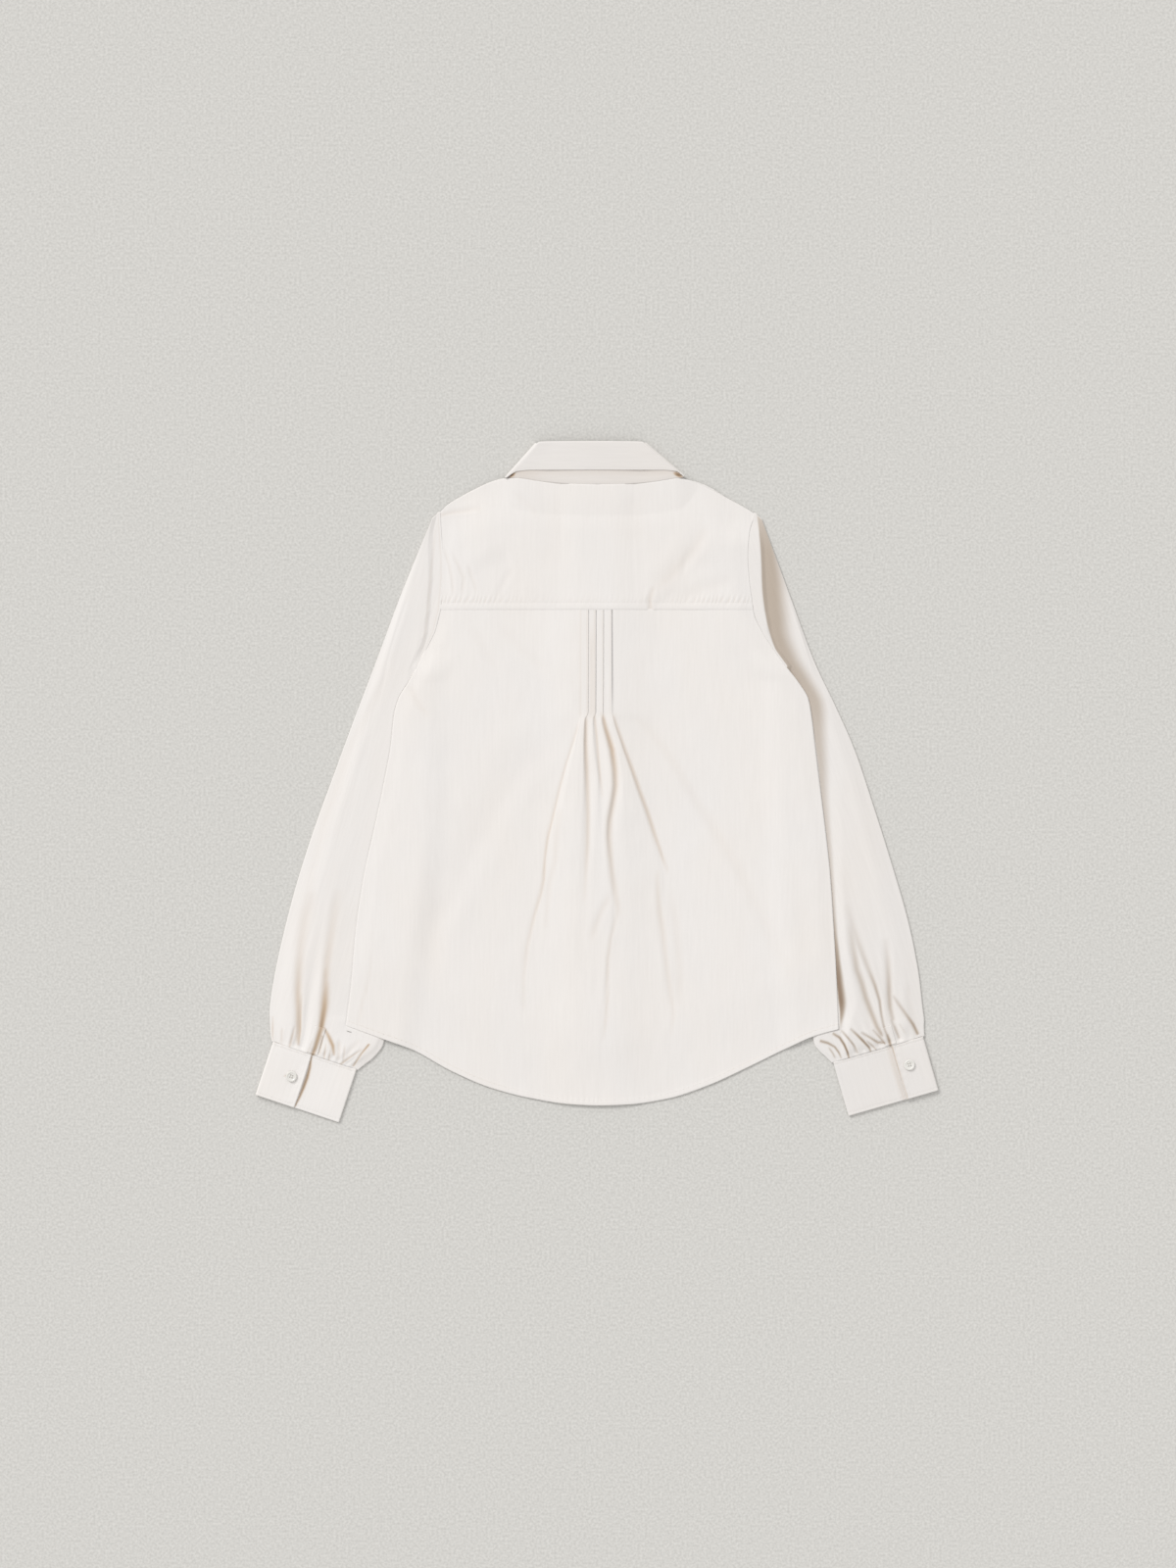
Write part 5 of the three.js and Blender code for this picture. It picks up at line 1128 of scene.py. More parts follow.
SLEEVE_CREASES = {
    "left": [
        ([(447, 528), (443, 550), (440, 580), (438, 602), (436, 628), (432.5, 655), (427, 672)],
         1.6, 0.3, 0.0, 0.12),
        ([(408, 649), (394, 691), (356, 765), (333, 835), (319, 886), (312, 930), (306, 975)],
         5.5, 0.5, 0.2, 0.05),
        ([(319, 905), (311, 940), (307, 964), (305, 988), (304, 1012), (304.4, 1032), (304, 1052),
          (303, 1068)],
         (8.0, 7.0, 5.5, 4.2, 3.2, 2.2), 0.7, 0.0, (0.06, 0.14, 0.18, 0.24, 0.42, 0.62, 0.6, 0.4)),
        ([(308, 1012), (306.5, 1035), (306, 1052), (304, 1068)], 1.6, 0.4, 0.0, (0.1, 0.5, 0.75, 0.5)),
        ([(301, 1046), (298, 1058), (295, 1069)], 1.4, 0.5, 0.0, (0.1, 0.5, 0.4)),
        ([(346, 905), (341, 935), (337, 958), (334, 980), (332.5, 1000)], (6.0, 5.0, 4.0), 0.7, 0.2,
         (0.04, 0.14, 0.2, 0.28, 0.35)),
        ([(332, 985), (332.5, 1008), (331, 1028), (327.5, 1050), (322, 1068), (317.5, 1080)],
         (2.6, 4.2, 4.4, 3.2, 2.6, 2.2), 1.0, 0.2, (0.2, 0.55, 1.0, 1.4, 1.45, 1.3)),
        ([(330, 1048), (335, 1057), (339.5, 1067), (341, 1078)], (1.6, 2.4, 1.6), 0.5, 0.0,
         (0.6, 1.0, 1.2, 0.5)),
        ([(329, 1056), (327, 1068), (325, 1078)], 1.5, 0.3, 0.0, (0.8, 0.6, 0.2)),
        ([(333, 1064), (331, 1076), (330, 1083)], 1.1, 0.4, 0.0, (0.1, 0.6, 0.3)),
        ([(338, 1070), (336, 1078), (335, 1086)], 1.1, 0.4, 0.0, (0.1, 0.5, 0.3)),
        ([(278.3, 1036), (278, 1048), (277.8, 1062)], 1.3, 0.5, 0.0, (0.1, 0.45, 0.2)),
        ([(288, 1048), (287.5, 1056), (287, 1066)], 1.4, 0.4, 0.0, 0.2),
        ([(377, 1065), (369, 1075), (359.7, 1089)], 1.1, 0.7, 0.0, (1.4, 0.8, 0.7)),
        ([(370, 1070.5), (357, 1079), (346, 1087)], 1.1, 0.7, 0.0, (0.2, 0.55, 0.6)),
        ([(346, 1060), (346, 1072), (344, 1084)], 2.4, 0.7, 0.0, 0.2),
        ([(352, 1066), (351, 1076), (350, 1087)], 1.2, 0.4, 0.0, 0.3),
        ([(368, 1060), (358, 1071), (350, 1084)], 2.6, 0.8, 0.0, 0.1),
        ([(320, 1060), (316, 1070), (313, 1077)], 1.3, 0.3, 0.0, 0.25),
    ],
    "right": [
        ([(863, 918), (871, 948), (878.5, 968.7), (885.8, 987.5), (893, 1006), (897.5, 1021), (899.5, 1036),
          (902.5, 1050), (907, 1061)], (5.0, 4.0, 2.6, 1.6, 1.5), 0.6, 0.2,
         (0.05, 0.18, 0.3, 0.4, 0.5, 0.9, 0.9, 0.7, 1.1)),
        ([(866, 940), (874.5, 990), (879.6, 1004), (883.7, 1018.7), (889, 1033), (895, 1048), (902, 1060)],
         (4.0, 3.8, 3.6, 3.2, 2.4), 0.9, 0.0, (0.06, 0.4, 0.62, 0.74, 0.8, 0.85, 0.9)),
        ([(903, 955), (906, 980), (907, 1000), (907.5, 1016), (908.5, 1029), (912, 1044)],
         (4.0, 3.4, 3.0, 2.4), 0.8, 0.0, (0.06, 0.25, 0.5, 0.75, 0.75, 0.5)),
        ([(910.5, 1015), (918, 1026), (926, 1037), (932, 1045.5), (937.5, 1057)],
         (1.8, 2.0, 2.0, 1.8), 0.8, 0.0, (0.3, 0.6, 0.8, 1.3, 1.3)),
        ([(926, 1000), (928, 1018), (931, 1034), (936, 1048)], 3.0, 0.4, 0.0, 0.1),
        ([(859, 872), (866, 910), (873, 942), (887, 989)], 8.0, 0.4, 0.0, 0.05),
        ([(909, 1040), (913, 1048), (918, 1060)], (1.8, 1.6, 1.2), 0.6, 0.0, (0.3, 0.7, 0.7)),
        ([(917, 1044), (921, 1050), (925, 1056)], 1.2, 0.4, 0.0, 0.25),
        ([(836, 1062), (845, 1064.5), (852, 1068.5), (856, 1074), (859, 1081)], (1.6, 1.3, 1.1), 0.8, 0.0,
         (1.2, 1.4, 1.2, 1.2, 0.4)),
        ([(849, 1054), (857, 1059), (861.5, 1066), (865, 1074), (867, 1082)], (1.5, 1.4, 1.1), 0.9, 0.0,
         (0.9, 1.5, 1.8, 1.8, 1.0)),
        ([(858, 1051), (866, 1060), (872, 1067.5), (876, 1076)], 1.2, 0.9, 0.0, (0.5, 1.1, 0.9, 0.4)),
        ([(867, 1049), (875, 1056.5), (881, 1062.5), (887, 1069), (890, 1076)], (1.5, 1.4, 1.1), 0.9, 0.0,
         (0.4, 1.1, 1.8, 1.6, 0.5)),
        ([(878, 1053), (888, 1059), (896, 1064), (904, 1064)], 1.3, 0.8, 0.0, (0.4, 1.0, 1.2, 1.0)),
        ([(884, 1062), (890, 1067), (895, 1072)], 1.0, 0.5, 0.0, (0.4, 1.0, 0.6)),
        ([(890, 1050), (898, 1059), (904, 1066)], 1.3, 0.7, 0.0, (0.3, 0.9, 0.9)),
        ([(845, 1068), (850, 1075), (853, 1081)], 1.2, 0.5, 0.0, 0.7),
        ([(869, 1062), (872, 1070), (874, 1076)], 1.0, 0.4, 0.0, 0.4),
        ([(905, 1055), (907.5, 1062), (909, 1068)], 1.7, 0.5, 0.0, (0.8, 1.9, 1.6)),
    ],
}


SLIT_WIDE = 12
SLIT_REACH = {"left": 31, "right": 21}


def nearest_heights(x, y, surface):
    """Heights at x and y on a surface of scattered points, weighted towards the nearest."""
    near = surface.reshape(-1, 3)
    box = (np.abs(near[:, 0] - x.mean()) < 40) & (np.abs(near[:, 1] - y.mean()) < 40)
    near = near[box]
    distance = np.hypot(x[..., None] - near[:, 0], y[..., None] - near[:, 1])
    weight = 1 / (distance + 0.3) ** 4
    return (weight * near[:, 2]).sum(axis=-1) / weight.sum(axis=-1)


def make_slit(side, surface):
    """The bound slit above a cuff, lying on the sleeve."""
    lap_end, half = CUFFS[side]["lap_end"], SLIT_WIDE / 2
    u = lap_end + np.linspace(-half, half, 17)[None, :]
    v = np.linspace(-1.2, -SLIT_REACH[side], 41)[:, None]
    x, y = on_cuff(side, u, v)
    across = np.minimum(u - lap_end + half, lap_end + half - u)
    border = np.minimum(across, v + SLIT_REACH[side])
    z = nearest_heights(x, y, surface) + 0.5 + 0.12 * step(0.2, 1.4, border) - 0.1 * bell(border - 2, 0.6)
    points, faces = cloth_wall(x, y, z, 0.25)
    name, dressed = f"sleeve_slit_{side}", [f"sleeve_placket_{side}"]
    piece = new_piece(name, points, faces, SLEEVE_CLOTH[side], "faced_cotton", dressed)
    # The sleeve's painted crease shade, a little lighter, carries on over the slit
    _, painted_shade = creases(x, y, SLEEVE_CREASES[side])
    set_painted_shade(piece, 0.8 * painted_shade)
    return piece


# Cuffs

# The lap's free end: how far it bows past a straight line and lifts, and the shade line under it in
# photograph pixels with its width and warmth
LAP_ENDS = {
    "left": {
        "bow": 0.6, "lift": 0.9, "width": (0.8, 1.3, 1.7, 1.7, 1.3, 0.7),
        "warmth": (1.0, 1.3, 1.5, 1.4, 1.1, 0.9),
        "shade": [(318, 1075), (316, 1089.5), (313.2, 1100), (309.4, 1110.5), (305, 1121), (299.6, 1131)],
    },
    "right": {
        "bow": -0.5, "lift": 0.3, "width": (0.9, 0.7, 0.6, 0.7), "warmth": (0.8, 0.6, 0.5, 0.7),
        "shade": [(909.4, 1064.6), (914.4, 1082), (920.4, 1101), (926.9, 1123)],
    },
}
# Painted shade on the cuffs, as rows of creases whose painted shade alone is used: a dash in the left
# buttonhole's slit, and a soft band beside the right cuff's lapped end
CUFF_SHADE_LINES = {
    "left": [([(289.6, 1098.2), (294.6, 1096.9)], 0.5, 0.1, 0.0, (0.5, 0.7, 0.5))],
    "right": [
        ([(906.5, 1066), (911.5, 1084), (917, 1103), (923.5, 1124)], 3.0, 0.1, 0.0,
         (0.2, 0.24, 0.26, 0.26, 0.24)),
    ],
}


CUFF_LAYER = CUFF_CLOTH + SEAM_GAP
# Middle heights of the cuff's three layers
CUFF_UNDER, CUFF_MIDDLE, CUFF_TOP = (CUFF_CLOTH / 2 + CUFF_LAYER * i for i in range(3))


def cuff_path(side):
    """The band's way round, from the lap's end to the end below it: u, height, and its outward u and z."""
    width, lap_end = CUFFS[side]["width"], CUFFS[side]["lap_end"]
    quarter = math.pi / 2
    outer_turn = CUFF_TOP / 2 + CUFF_UNDER
    inner_turn = width - CUFF_MIDDLE / 2 - CUFF_UNDER
    path = []

    def line(u0, u1, z, nz, count):
        path.extend((u, z, 0.0, nz) for u in np.linspace(u0, u1, count))

    def turn(u, high, start, end, out):
        radius = (high - CUFF_UNDER) / 2
        for angle in np.linspace(start, end, 12)[1:-1]:
            nu, nz = out * math.cos(angle), math.sin(angle)
            path.append((u + nu * radius, (CUFF_UNDER + high) / 2 + nz * radius, nu, nz))

    line(lap_end, outer_turn, CUFF_TOP, 1.0, 47)
    turn(outer_turn, CUFF_TOP, quarter, -quarter, -1)
    line(outer_turn, inner_turn, CUFF_UNDER, -1.0, 60)
    turn(inner_turn, CUFF_MIDDLE, -quarter, quarter, 1)
    line(inner_turn, lap_end - CUFF_UNDERLAP, CUFF_MIDDLE, 1.0, 70)
    return np.array(path)


def make_cuff(side):
    """A cuff: one band round the wrist that laps over its own end."""
    path = cuff_path(side)
    u, z, nu, nz = (path[:, i][None, :] for i in range(4))
    v = joined((0, 3, 10), (3, 57, 47), (57, CUFF_HEIGHT, 10))[:, None]
    run = running(np.hypot(np.diff(path[:, 0]), np.diff(path[:, 1])))[None, :]
    from_sides = np.minimum(run, run[:, -1:] - run)
    border = np.minimum(np.minimum(v, CUFF_HEIGHT - v), from_sides)
    plump = CUFF_CLOTH / 2 * (0.35 + 0.65 * step(-0.3, 1.0, border))
    plump = plump - 0.2 * bell(border - CUFF_STITCH_IN, 0.7)
    plump = plump + 0.1 * np.cos(run / 1.3) * bell(v, 4)
    plump = plump + 0.1 * np.cos(v / 1.4) * bell(from_sides - 3, 3)
    wave = 0.25 * np.sin(u / 13 + v / 25) * step(0, 10, border) * (nz > 0.5) * (z > CUFF_UNDER)

    lap = LAP_ENDS[side]
    on_lap = np.abs(z - CUFF_TOP) < 0.01
    near_end = on_lap * step(14, 0, CUFFS[side]["lap_end"] - u)
    arch = np.sin(np.pi * np.clip(v / CUFF_HEIGHT, 0, 1))
    bow, lift = lap["bow"] * arch * near_end, lap["lift"] * arch * near_end**2

    def side_of(way):
        height = np.maximum(z + lift + way * nz * plump + wave, 0.0)
        x, y = on_cuff(side, u + bow + way * nu * plump, v)
        return points_of(x, y, height)

    outer, inner = side_of(1), side_of(-1)
    points, faces = grid_shell(outer, inner)
    piece = new_piece(f"cuff_{side}_band", points, faces, CUFF_CLOTHS[side], "faced_cotton", [f"cuff_{side}"])
    x, y = outer[..., 0], outer[..., 1]
    # Painted shade: a line under the lap's free end, kept off the left cuff's lap, the cuffs' painted shade
    # lines, and stripes over the puckers along the top edge
    _, shade = creases(x, y, [(lap["shade"], lap["width"], 0.0, 0.0, lap["warmth"])])
    _, shade_lines = creases(x, y, CUFF_SHADE_LINES[side])
    shade = shade * (~on_lap | (side == "right"))
    puckers = 0.1 * bell(v - 1.2, 1.2) * step(0.1, 0.9, np.cos(run / 1.3)) + 0 * u
    set_painted_shade(piece, np.maximum(np.maximum(shade, shade_lines), puckers))
    return piece


# Collar

def neck_point(x):
    """A point just outside the neck's edge, at a distance from the middle."""
    slope = float(front_top_at(x + 1) - front_top_at(x - 1)) / 2
    size = math.hypot(1, slope)
    gap = SEAM_GAP + 0.1
    return x - gap * slope / size, float(front_top_at(x)) + gap / size


def collar_half(sign):
    """Rows of seam, roll, edge, outward way and the stand's share, from the back's middle to the front."""
    def back_z(x):
        top = float(yoke_top_at(sign * x))
        return float(back_high(np.float64(sign * x), top)) + 0.3

    rows = []
    for seam_x, roll_x, roll_y, edge_x, edge_y, lift in COLLAR_BACK:
        z = back_z(seam_x)
        seam_y = float(yoke_top_at(sign * seam_x)) - 0.5
        edge = (edge_x, edge_y, z + lift * LEAF_SETTLED)
        roll = (roll_x + sign * BACK_ROLL_SHIFT, roll_y, z + 0.3)
        rows.append([(seam_x, seam_y, z - 0.35), roll, edge, (0, 0, 1), STAND_BACK])
    seam = COLLAR_TURN_SEAM
    roll, edge = COLLAR_TURN["left" if sign < 0 else "right"]
    size = math.hypot(roll[0] - seam[0], roll[1] - seam[1])
    out_x, out_y = (roll[1] - seam[1]) / size, (seam[0] - roll[0]) / size
    top_z = back_z(seam[0])
    middle_z, radius = (top_z + COLLAR_FRONT_Z) / 2, (top_z - COLLAR_FRONT_Z) / 2
    for degrees in COLLAR_TURN_ANGLES:
        angle = math.radians(degrees)
        out = (out_x * math.cos(angle), out_y * math.cos(angle), math.sin(angle))

        def at(point, by):
            return (point[0] + out[0] * by, point[1] + out[1] * by, middle_z + out[2] * by)

        share = lerp(STAND_FRONT, STAND_BACK, (degrees + 90) / 180)
        rows.append([at(seam, radius), at(roll, radius), at(edge, radius + LEAF_OFFSET), out, share])
    for seam_x, roll_x, roll_y, edge_x, edge_y in COLLAR_FRONT:
        x, y = neck_point(seam_x)
        z = COLLAR_FRONT_Z
        edge = (edge_x, edge_y, z - LEAF_OFFSET)
        rows.append([(x, y, z), (roll_x, roll_y, z), edge, (0, 0, -1), STAND_FRONT])
    for row in rows:
        for i in range(4):
            x, y, z = row[i]
            row[i] = (sign * x, y, z)
    return rows


def collar_rows():
    """Rows of the whole collar, from its left front end to its right one."""
    return collar_half(-1)[:0:-1] + collar_half(1)


def resampled(keys, count):
    """Even rows on a smooth line through rows of points."""
    keys = np.asarray(keys, float)
    flat = keys.reshape(len(keys), -1)
    gaps = np.maximum(np.linalg.norm(np.diff(keys[:, 0] if keys.ndim == 3 else keys, axis=0), axis=-1), 1e-3)
    run = running(gaps)
    at = np.linspace(0, run[-1], count)
    columns = [curve(list(zip(run, flat[:, i])))(at) for i in range(flat.shape[1])]
    return np.array(columns).T.reshape((count,) + keys.shape[1:])


def outward_at_middle(normal):
    """Normals turned so that the collar's outside faces up at the back of the neck."""
    return normal if normal[len(normal) // 2, -1, 2] > 0 else -normal


def mix(a, b, t):
    return np.asarray(a) + (np.asarray(b) - np.asarray(a)) * t


STAND_ROWS, STAND_COLUMNS = 301, 23


def make_stand():
    """The stand, round the neck, with both ends overlapping at the front."""
    def end_row(x, z):
        return [(x, 250.4, z), (x * 0.9, 276.5, z), None, None, STAND_FRONT]

    rows = [end_row(STAND_REACH, STAND_OVER), end_row(-8, STAND_OVER), *collar_rows(),
            end_row(8, STAND_UNDER), end_row(-STAND_REACH, STAND_UNDER)]
    keys = [[row[0], mix(row[0], row[1], row[4])] for row in rows]
    dense = resampled(keys, STAND_ROWS)
    shares = np.linspace(0, 1, STAND_COLUMNS)
    grid = np.stack([mix(dense[:, 0], dense[:, 1], t) for t in shares], axis=1)
    normal = outward_at_middle(normals_of(grid))
    half = (0.14 + 0.28 * step(0, 0.12, shares))[None, :, None]
    outer = grid + normal * half
    points, faces = grid_shell(outer, grid - normal * half)
    piece = new_piece("collar_stand_cloth", points, faces, COLLAR_CLOTH, "faced_cotton", ["collar_stand"])
    set_painted_shade(piece, collar_shade(outer))
    return piece


# Where the leaf turns, deep brown shade shows in a slit: its middle and half size in photograph pixels, and
# its tilt
COLLAR_SLITS = [(522, 484.8, 4.2, 1.9, -28), (692, 484.5, 4.6, 2.0, 24)]


def collar_shade(grid):
    """Warmth of the light on the stand under the leaf, and the dark slits at both turns."""
    photo_x, photo_y = to_photo(grid[..., 0], grid[..., 1])
    shade = 0.1 + 0.1 * step(488, 480, photo_y) + 0.12 * step(560, 530, photo_x)
    for middle_x, middle_y, half_x, half_y, tilt in COLLAR_SLITS:
        turn = math.radians(tilt)
        along = (photo_x - middle_x) * math.cos(turn) + (photo_y - middle_y) * math.sin(turn)
        across = (photo_y - middle_y) * math.cos(turn) - (photo_x - middle_x) * math.sin(turn)
        shade = np.maximum(shade, 1.9 * np.exp(-(((along / half_x) ** 2 + (across / half_y) ** 2) ** 1.5)))
    return shade


LEAF_ROWS, LEAF_ROW_GAP = 341, 1.35
LEAF_HALF = 0.42


def make_leaf():
    """The leaf: up inside the stand, over the roll and down outside."""
    keys = []
    for seam, roll, edge, out, share in collar_rows():
        seam, roll, edge, out = (np.array(p, float) for p in (seam, roll, edge, out))
        out = out / np.linalg.norm(out)
        rise = (roll - seam) / np.linalg.norm(roll - seam)
        under_roll = roll - rise * 1.2
        over_roll = under_roll + out * LEAF_OFFSET
        crown = roll + out * LEAF_OFFSET / 2
        keys.append([mix(seam, roll, share + 0.02), under_roll, crown, over_roll, edge])
    dense = resampled(keys, LEAF_ROWS)
    start, under_roll, crown, over_roll, edge = (dense[:, i] for i in range(5))
    columns = [mix(start, under_roll, t) for t in np.linspace(0, 1, 6)[:-1]]
    for t in np.linspace(0, 1, 9)[:-1]:
        angle = math.pi * t
        middle = (under_roll + over_roll) / 2
        columns.append(middle + (under_roll - middle) * math.cos(angle) + (crown - middle) * math.sin(angle))
    before_fall = len(columns)
    fall = joined((0, 0.86, 26), (0.86, 1, 15))
    columns += [mix(over_roll, edge, t) for t in fall]
    grid = np.stack(columns, axis=1)
    normal = outward_at_middle(normals_of(grid))
    fall_length = np.linalg.norm(edge - over_roll, axis=1)
    from_edge = np.full(grid.shape[:2], 99.0)
    from_edge[:, before_fall:] = fall_length[:, None] * (1 - fall)[None, :]
    ends = np.arange(len(grid))[:, None] * LEAF_ROW_GAP
    from_points = np.minimum(ends, ends[::-1])
    border = np.minimum(from_edge, from_points)
    half = LEAF_HALF * (0.45 + 0.55 * step(0, 1.2, border)) - 0.12 * bell(border - 2.0, 0.6)
    half = half[..., None]
    points, faces = grid_shell(grid + normal * half, grid - normal * half)
    return new_piece("collar_leaf_cloth", points, faces, COLLAR_CLOTH, "faced_cotton", ["collar_leaf"])


# Buttons

HOLE_OUT, HOLE_DEEP = 1.15, 1.1
BUTTON_FACE, BUTTON_RIM = 1.45, 0.55
BUTTON_RINGS = [
    0, 0.35, 0.7, 1.0, 1.3, 1.6, 1.9, 2.2, 2.5, 2.8, 3.1, 3.5, 3.9, 4.2, 4.5, 4.9, 5.3, 5.6, BUTTON_RADIUS,
]


def make_button(name, centre, face_up, replaces, turn=0.0):
    """A button with four holes and a raised rim, and the thread that crosses its holes."""
    spin = math.radians(turn)

    def placed(points):
        x, y, z = points.T
        turned_x = x * math.cos(spin) - y * math.sin(spin)
        turned_y = x * math.sin(spin) + y * math.cos(spin)
        points = np.column_stack([turned_x, turned_y, z])
        if not face_up:
            points = points * [1, -1, -1] + [0, 0, BUTTON_THICK]
        return points + centre

    angles = np.linspace(0, 2 * math.pi, 64, endpoint=False)
    r, angle = np.meshgrid(BUTTON_RINGS, angles, indexing="ij")
    x, y = r * np.cos(angle), r * np.sin(angle)
    top = BUTTON_FACE + BUTTON_RIM * step(3.4, 4.3, r) - BUTTON_RIM * step(5.0, BUTTON_RADIUS, r) ** 2
    for sx in (-1, 1):
        for sy in (-1, 1):
            top = top - HOLE_DEEP * step(0.75, 0.55, np.hypot(x - sx * HOLE_OUT, y - sy * HOLE_OUT))
    bottom = 0.1 + 0.5 * step(4.6, BUTTON_RADIUS, r) ** 2
    points, faces = grid_shell(points_of(x, y, top), points_of(x, y, bottom), ring=True)
    weld(new_piece(name, placed(points), faces, PEARL, "buttons", replaces))
    strands = []
    for sy in (-1, 1):
        for lift in (0, 0.22):
            y = sy * HOLE_OUT + lift
            strands.append([(-HOLE_OUT, y, 0.7), (-0.8, y, 1.62), (0.8, y, 1.62), (HOLE_OUT, y, 0.7)])
    points, faces = tubes(strands, 0.17)
    if not face_up:
        faces = [face[::-1] for face in faces]
    new_piece(f"{name}_thread", placed(points), faces, THREAD, "faced_cotton")


def weld(piece):
    """Joins points that lie on each other, such as those in the middle of a ring."""
    mesh = bmesh.new()
    mesh.from_mesh(piece.data)
    bmesh.ops.remove_doubles(mesh, verts=mesh.verts, dist=1e-6)
    bmesh.ops.recalc_face_normals(mesh, faces=mesh.faces)
    mesh.to_mesh(piece.data)
    mesh.free()
    piece.data.shade_smooth()


# Stitches

def tubes(paths, radius, sides=5):
    """Closed round strands along short paths."""
    all_points, all_faces = [], []
    start = 0
    for path in paths:
        path = np.asarray(path, float)
        tangent = np.gradient(path, axis=0)
        tangent /= np.maximum(np.linalg.norm(tangent, axis=1, keepdims=True), 1e-9)
        up = np.array([0.0, 0.0, 1.0])
        across = np.cross(tangent, up)
        weak = np.linalg.norm(across, axis=1) < 1e-3
        across[weak] = [1.0, 0, 0]
        across /= np.linalg.norm(across, axis=1, keepdims=True)
        other = np.cross(across, tangent)
        angles = np.linspace(0, 2 * math.pi, sides, endpoint=False)
        taper = np.ones(len(path))
        taper[0] = taper[-1] = 0.35
        ring = path[:, None] + radius * taper[:, None, None] * (
            across[:, None] * np.cos(angles)[None, :, None] + other[:, None] * np.sin(angles)[None, :, None]
        )
        number = start + np.arange(len(path) * sides).reshape(len(path), sides)
        number = np.concatenate([number, number[:, :1]], axis=1)
        faces = np.stack([number[:-1, :-1], number[1:, :-1], number[1:, 1:], number[:-1, 1:]], axis=-1)
        all_points += [ring.reshape(-1, 3), path[:1], path[-1:]]
        first = start + len(path) * sides
        all_faces += faces.reshape(-1, 4).tolist()
        all_faces += [[first, int(number[0, i]), int(number[0, i + 1])] for i in range(sides)]
        all_faces += [[first + 1, int(number[-1, i + 1]), int(number[-1, i])] for i in range(sides)]
        start = first + 2
    return np.concatenate(all_points), all_faces


def stitch_line(name, line, pitch=2.6, length=1.9, radius=0.16, sink=0.03):
    """Stitches along a line of surface points."""
    line = np.asarray(line, float)
    run = running(np.linalg.norm(np.diff(line, axis=0), axis=1))
    count = int(run[-1] / pitch)
    strands = []
    for i in range(count):
        start = (i + 0.15) * pitch
        places = start + np.array([0, 0.2, 0.5, 0.8, 1]) * length
        points = np.stack([np.interp(places, run, line[:, k]) for k in range(3)], axis=1)
        points[:, 2] += np.array([-0.12, 0.04, 0.08, 0.04, -0.12]) - sink
        strands.append(points)
    points, faces = tubes(strands, radius, 4)
    return new_piece(name, points, faces, THREAD, "faced_cotton")


def stitch_body_lines():
    """Rows of stitches over the yoke's seam and along the hem."""
    x = np.linspace(-168.5, 167.5, 700)
    y = np.full(x.shape, YOKE_SEAM_Y + YOKE_STITCH_UP)
    stitch_line("yoke_stitches", points_of(x, y, yoke_form(x, y)[0]))
    x = np.linspace(-266, 256, 1100)
    y = hem_at(x) + HEM_STITCH_UP
    z = back_high(x, y) + panel_form(x, y)[0]
    stitch_line("hem_stitches", points_of(x, y, z))


def cuff_point(side, u, v, lift=0.0):
    """A point on a cuff: u from its outer end, v down from its top edge, on the layer that shows there."""
    x, y = on_cuff(side, u, v)
    return x, y, CUFF_CLOTH + (2 if u < CUFFS[side]["lap_end"] else 1) * CUFF_LAYER + lift


STITCH_SUNK = -0.14


def stitch_small_lines():
    """Rows of stitches on the cuffs and beside their buttonholes, and a small bar on the left sleeve."""
    for side in SIDES:
        width, lap_end = CUFFS[side]["width"], CUFFS[side]["lap_end"]
        for v in (CUFF_STITCH_IN, CUFF_HEIGHT - CUFF_STITCH_IN):
            for name, start, end in (("lap", 3, lap_end - 3), ("round", lap_end + 2, width - 4)):
                line = [cuff_point(side, u, v, STITCH_SUNK) for u in np.linspace(start, end, 60)]
                stitch_line(f"cuff_{side}_{name}_stitches_{v:.0f}", line)
        down = np.linspace(CUFF_STITCH_IN, CUFF_HEIGHT - CUFF_STITCH_IN, 60)
        line = [cuff_point(side, lap_end - CUFF_STITCH_IN, v, STITCH_SUNK) for v in down]
        stitch_line(f"cuff_{side}_end_stitches", line)
        u, v = lap_end - CUFF_BUTTON[side][0], CUFF_BUTTON[side][1]
        for way in (-1, 1):
            line = [cuff_point(side, u + way * t, v, 0.02) for t in np.linspace(6.2, 9.2, 8)]
            stitch_line(f"buttonhole_{side}_{way + 1}", line, 1.0, 0.9, 0.2)
    # A bar of thread on the left sleeve, dark as painted shadow for a small dark gap there
    bar = nearest_line([(353.5, 1052.0), (358.5, 1053.4)], sleeve_top["left"])
    points, faces = tubes([bar], 0.45)
    new_piece("slit_bar", points, faces, PAINTED_SHADOW_THREAD, "faced_cotton")


def nearest_line(ends, surface):
    """A straight line between two places on the photograph, lying on a surface."""
    (x0, y0), (x1, y1) = from_photo(ends)
    x, y = np.linspace(x0, x1, 6), np.linspace(y0, y1, 6)
    return np.column_stack([x, y, nearest_heights(x, y, surface) + 0.1])


# Room

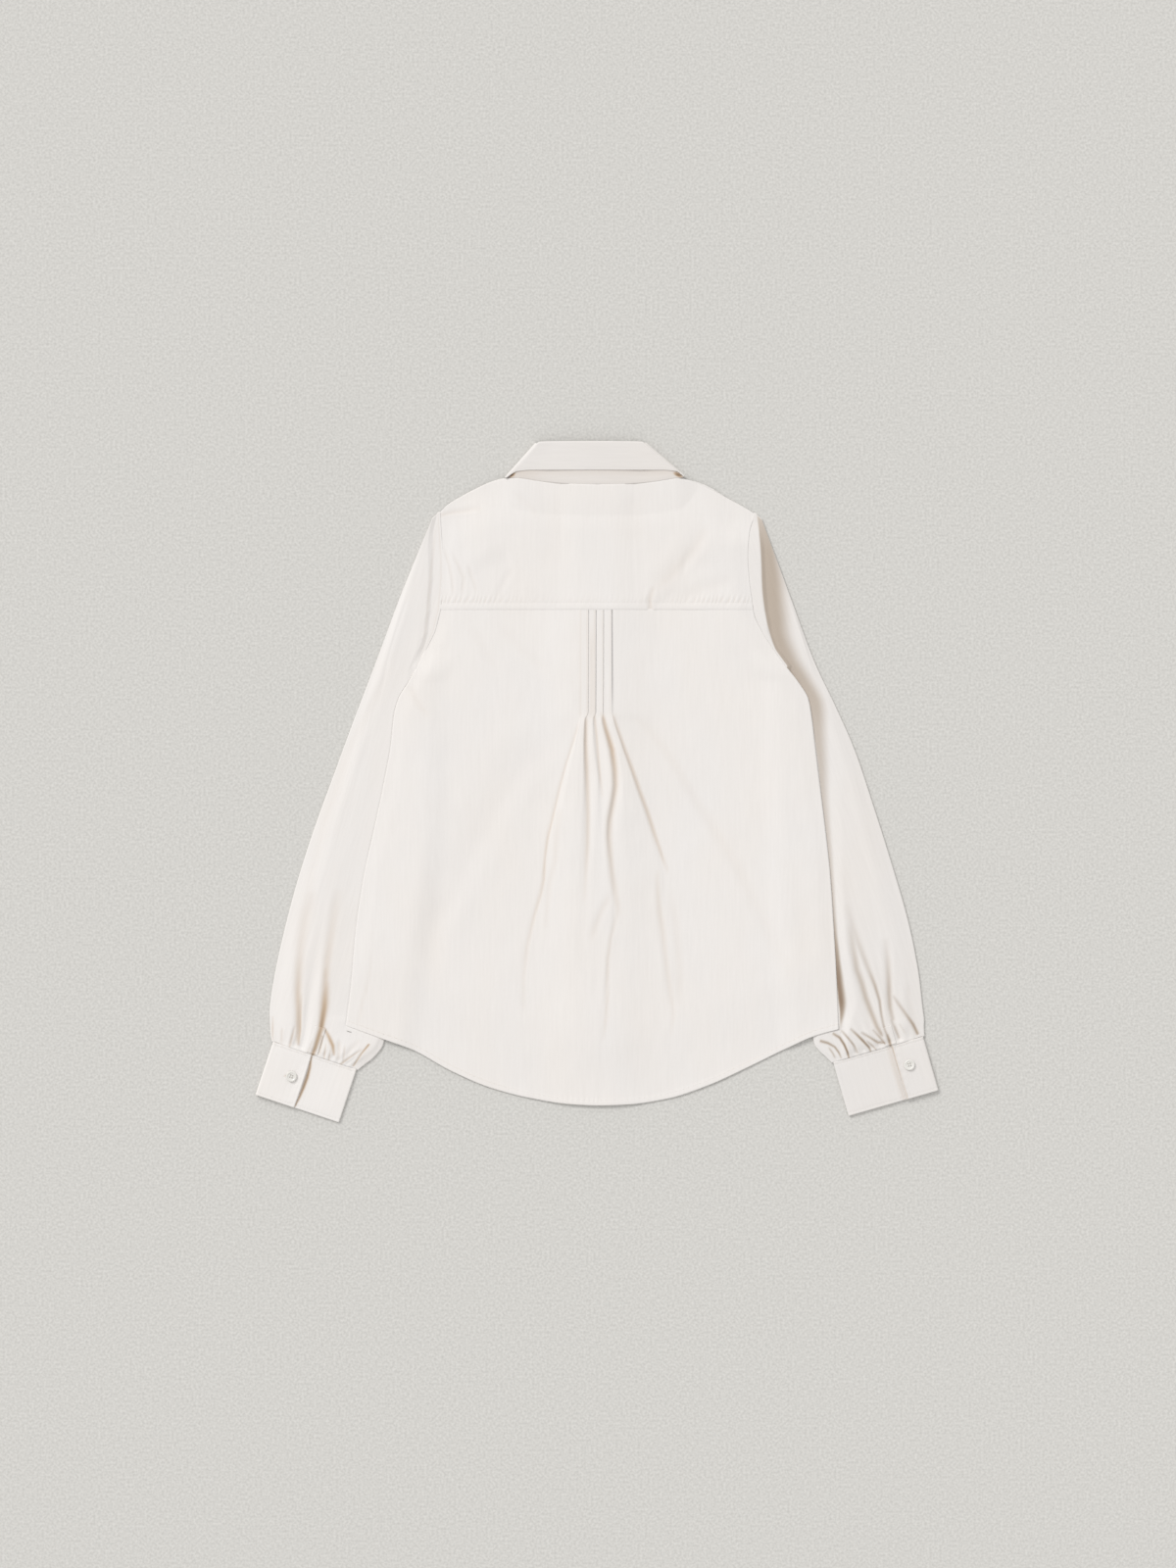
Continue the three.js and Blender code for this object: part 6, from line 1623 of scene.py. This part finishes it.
# Floor in metres, then the sky and the sun, whose spread and turn are in degrees
FLOOR_SIZE, FLOOR_Z = 8, -0.0004
SKY_COLOUR, SKY_STRENGTH = (1.0, 0.99, 0.975, 1), 0.72
SUN_COLOUR, SUN_STRENGTH, SUN_SPREAD = (1.0, 0.99, 0.97), 1.45, 24
SUN_TURN = (-38, -40, 0)


def make_floor():
    bpy.ops.mesh.primitive_grid_add(
        x_subdivisions=8, y_subdivisions=8, size=FLOOR_SIZE, location=(0, 0, FLOOR_Z),
    )
    floor = bpy.context.object
    floor.name = "pale_floor"
    material, nodes, links, principled, place = shader("pale_paper")
    grain = noise(nodes, links, place, 380, 3)
    colour = ramp(nodes, links, grain, ((0.6, 0.593, 0.572), (0.74, 0.732, 0.708)), 0.3, 0.7)
    links.new(colour, principled.inputs["Base Color"])
    set_inputs(principled, Roughness=0.95, Specular_IOR_Level=0.1)
    floor.data.materials.append(material)


def make_light():
    """A soft sun from the upper left and an even sky."""
    scene = bpy.context.scene
    world = bpy.data.worlds.new("studio")
    scene.world = world
    world.use_nodes = True
    background = world.node_tree.nodes["Background"]
    set_inputs(background, Color=SKY_COLOUR, Strength=SKY_STRENGTH)
    key = bpy.data.lights.new("key_light", "SUN")
    key.energy, key.color = SUN_STRENGTH, SUN_COLOUR
    key.angle = math.radians(SUN_SPREAD)
    lamp = bpy.data.objects.new("key_light", key)
    lamp.rotation_euler = [math.radians(turn) for turn in SUN_TURN]
    scene.collection.objects.link(lamp)
    scene.view_settings.view_transform = "Standard"


make_floor()
make_light()

sleeve_top = {}
yoke = make_yoke()
panel = make_panel()
for side in SIDES:
    piece = make_front(side)
    piece, sleeve_top[side] = make_sleeve(side)
    piece = make_cuff(side)
    piece = make_slit(side, sleeve_top[side])
placket = make_placket()
stand = make_stand()
leaf = make_leaf()

for side in SIDES:
    x, y = on_cuff(side, CUFFS[side]["lap_end"] - CUFF_BUTTON[side][0], CUFF_BUTTON[side][1])
    centre = np.array([x, y, LAP_TOP + SEAM_GAP])
    make_button(f"cuff_button_{side}_shell", centre, True, [f"cuff_button_{side}"], CUFFS[side]["turn"])
for i, y in enumerate(FRONT_BUTTON_YS):
    make_button(f"front_button_{i + 1}_shell", np.array([0.0, y, 0.0]), False, [f"front_button_{i + 1}"])

stitch_body_lines()
stitch_small_lines()
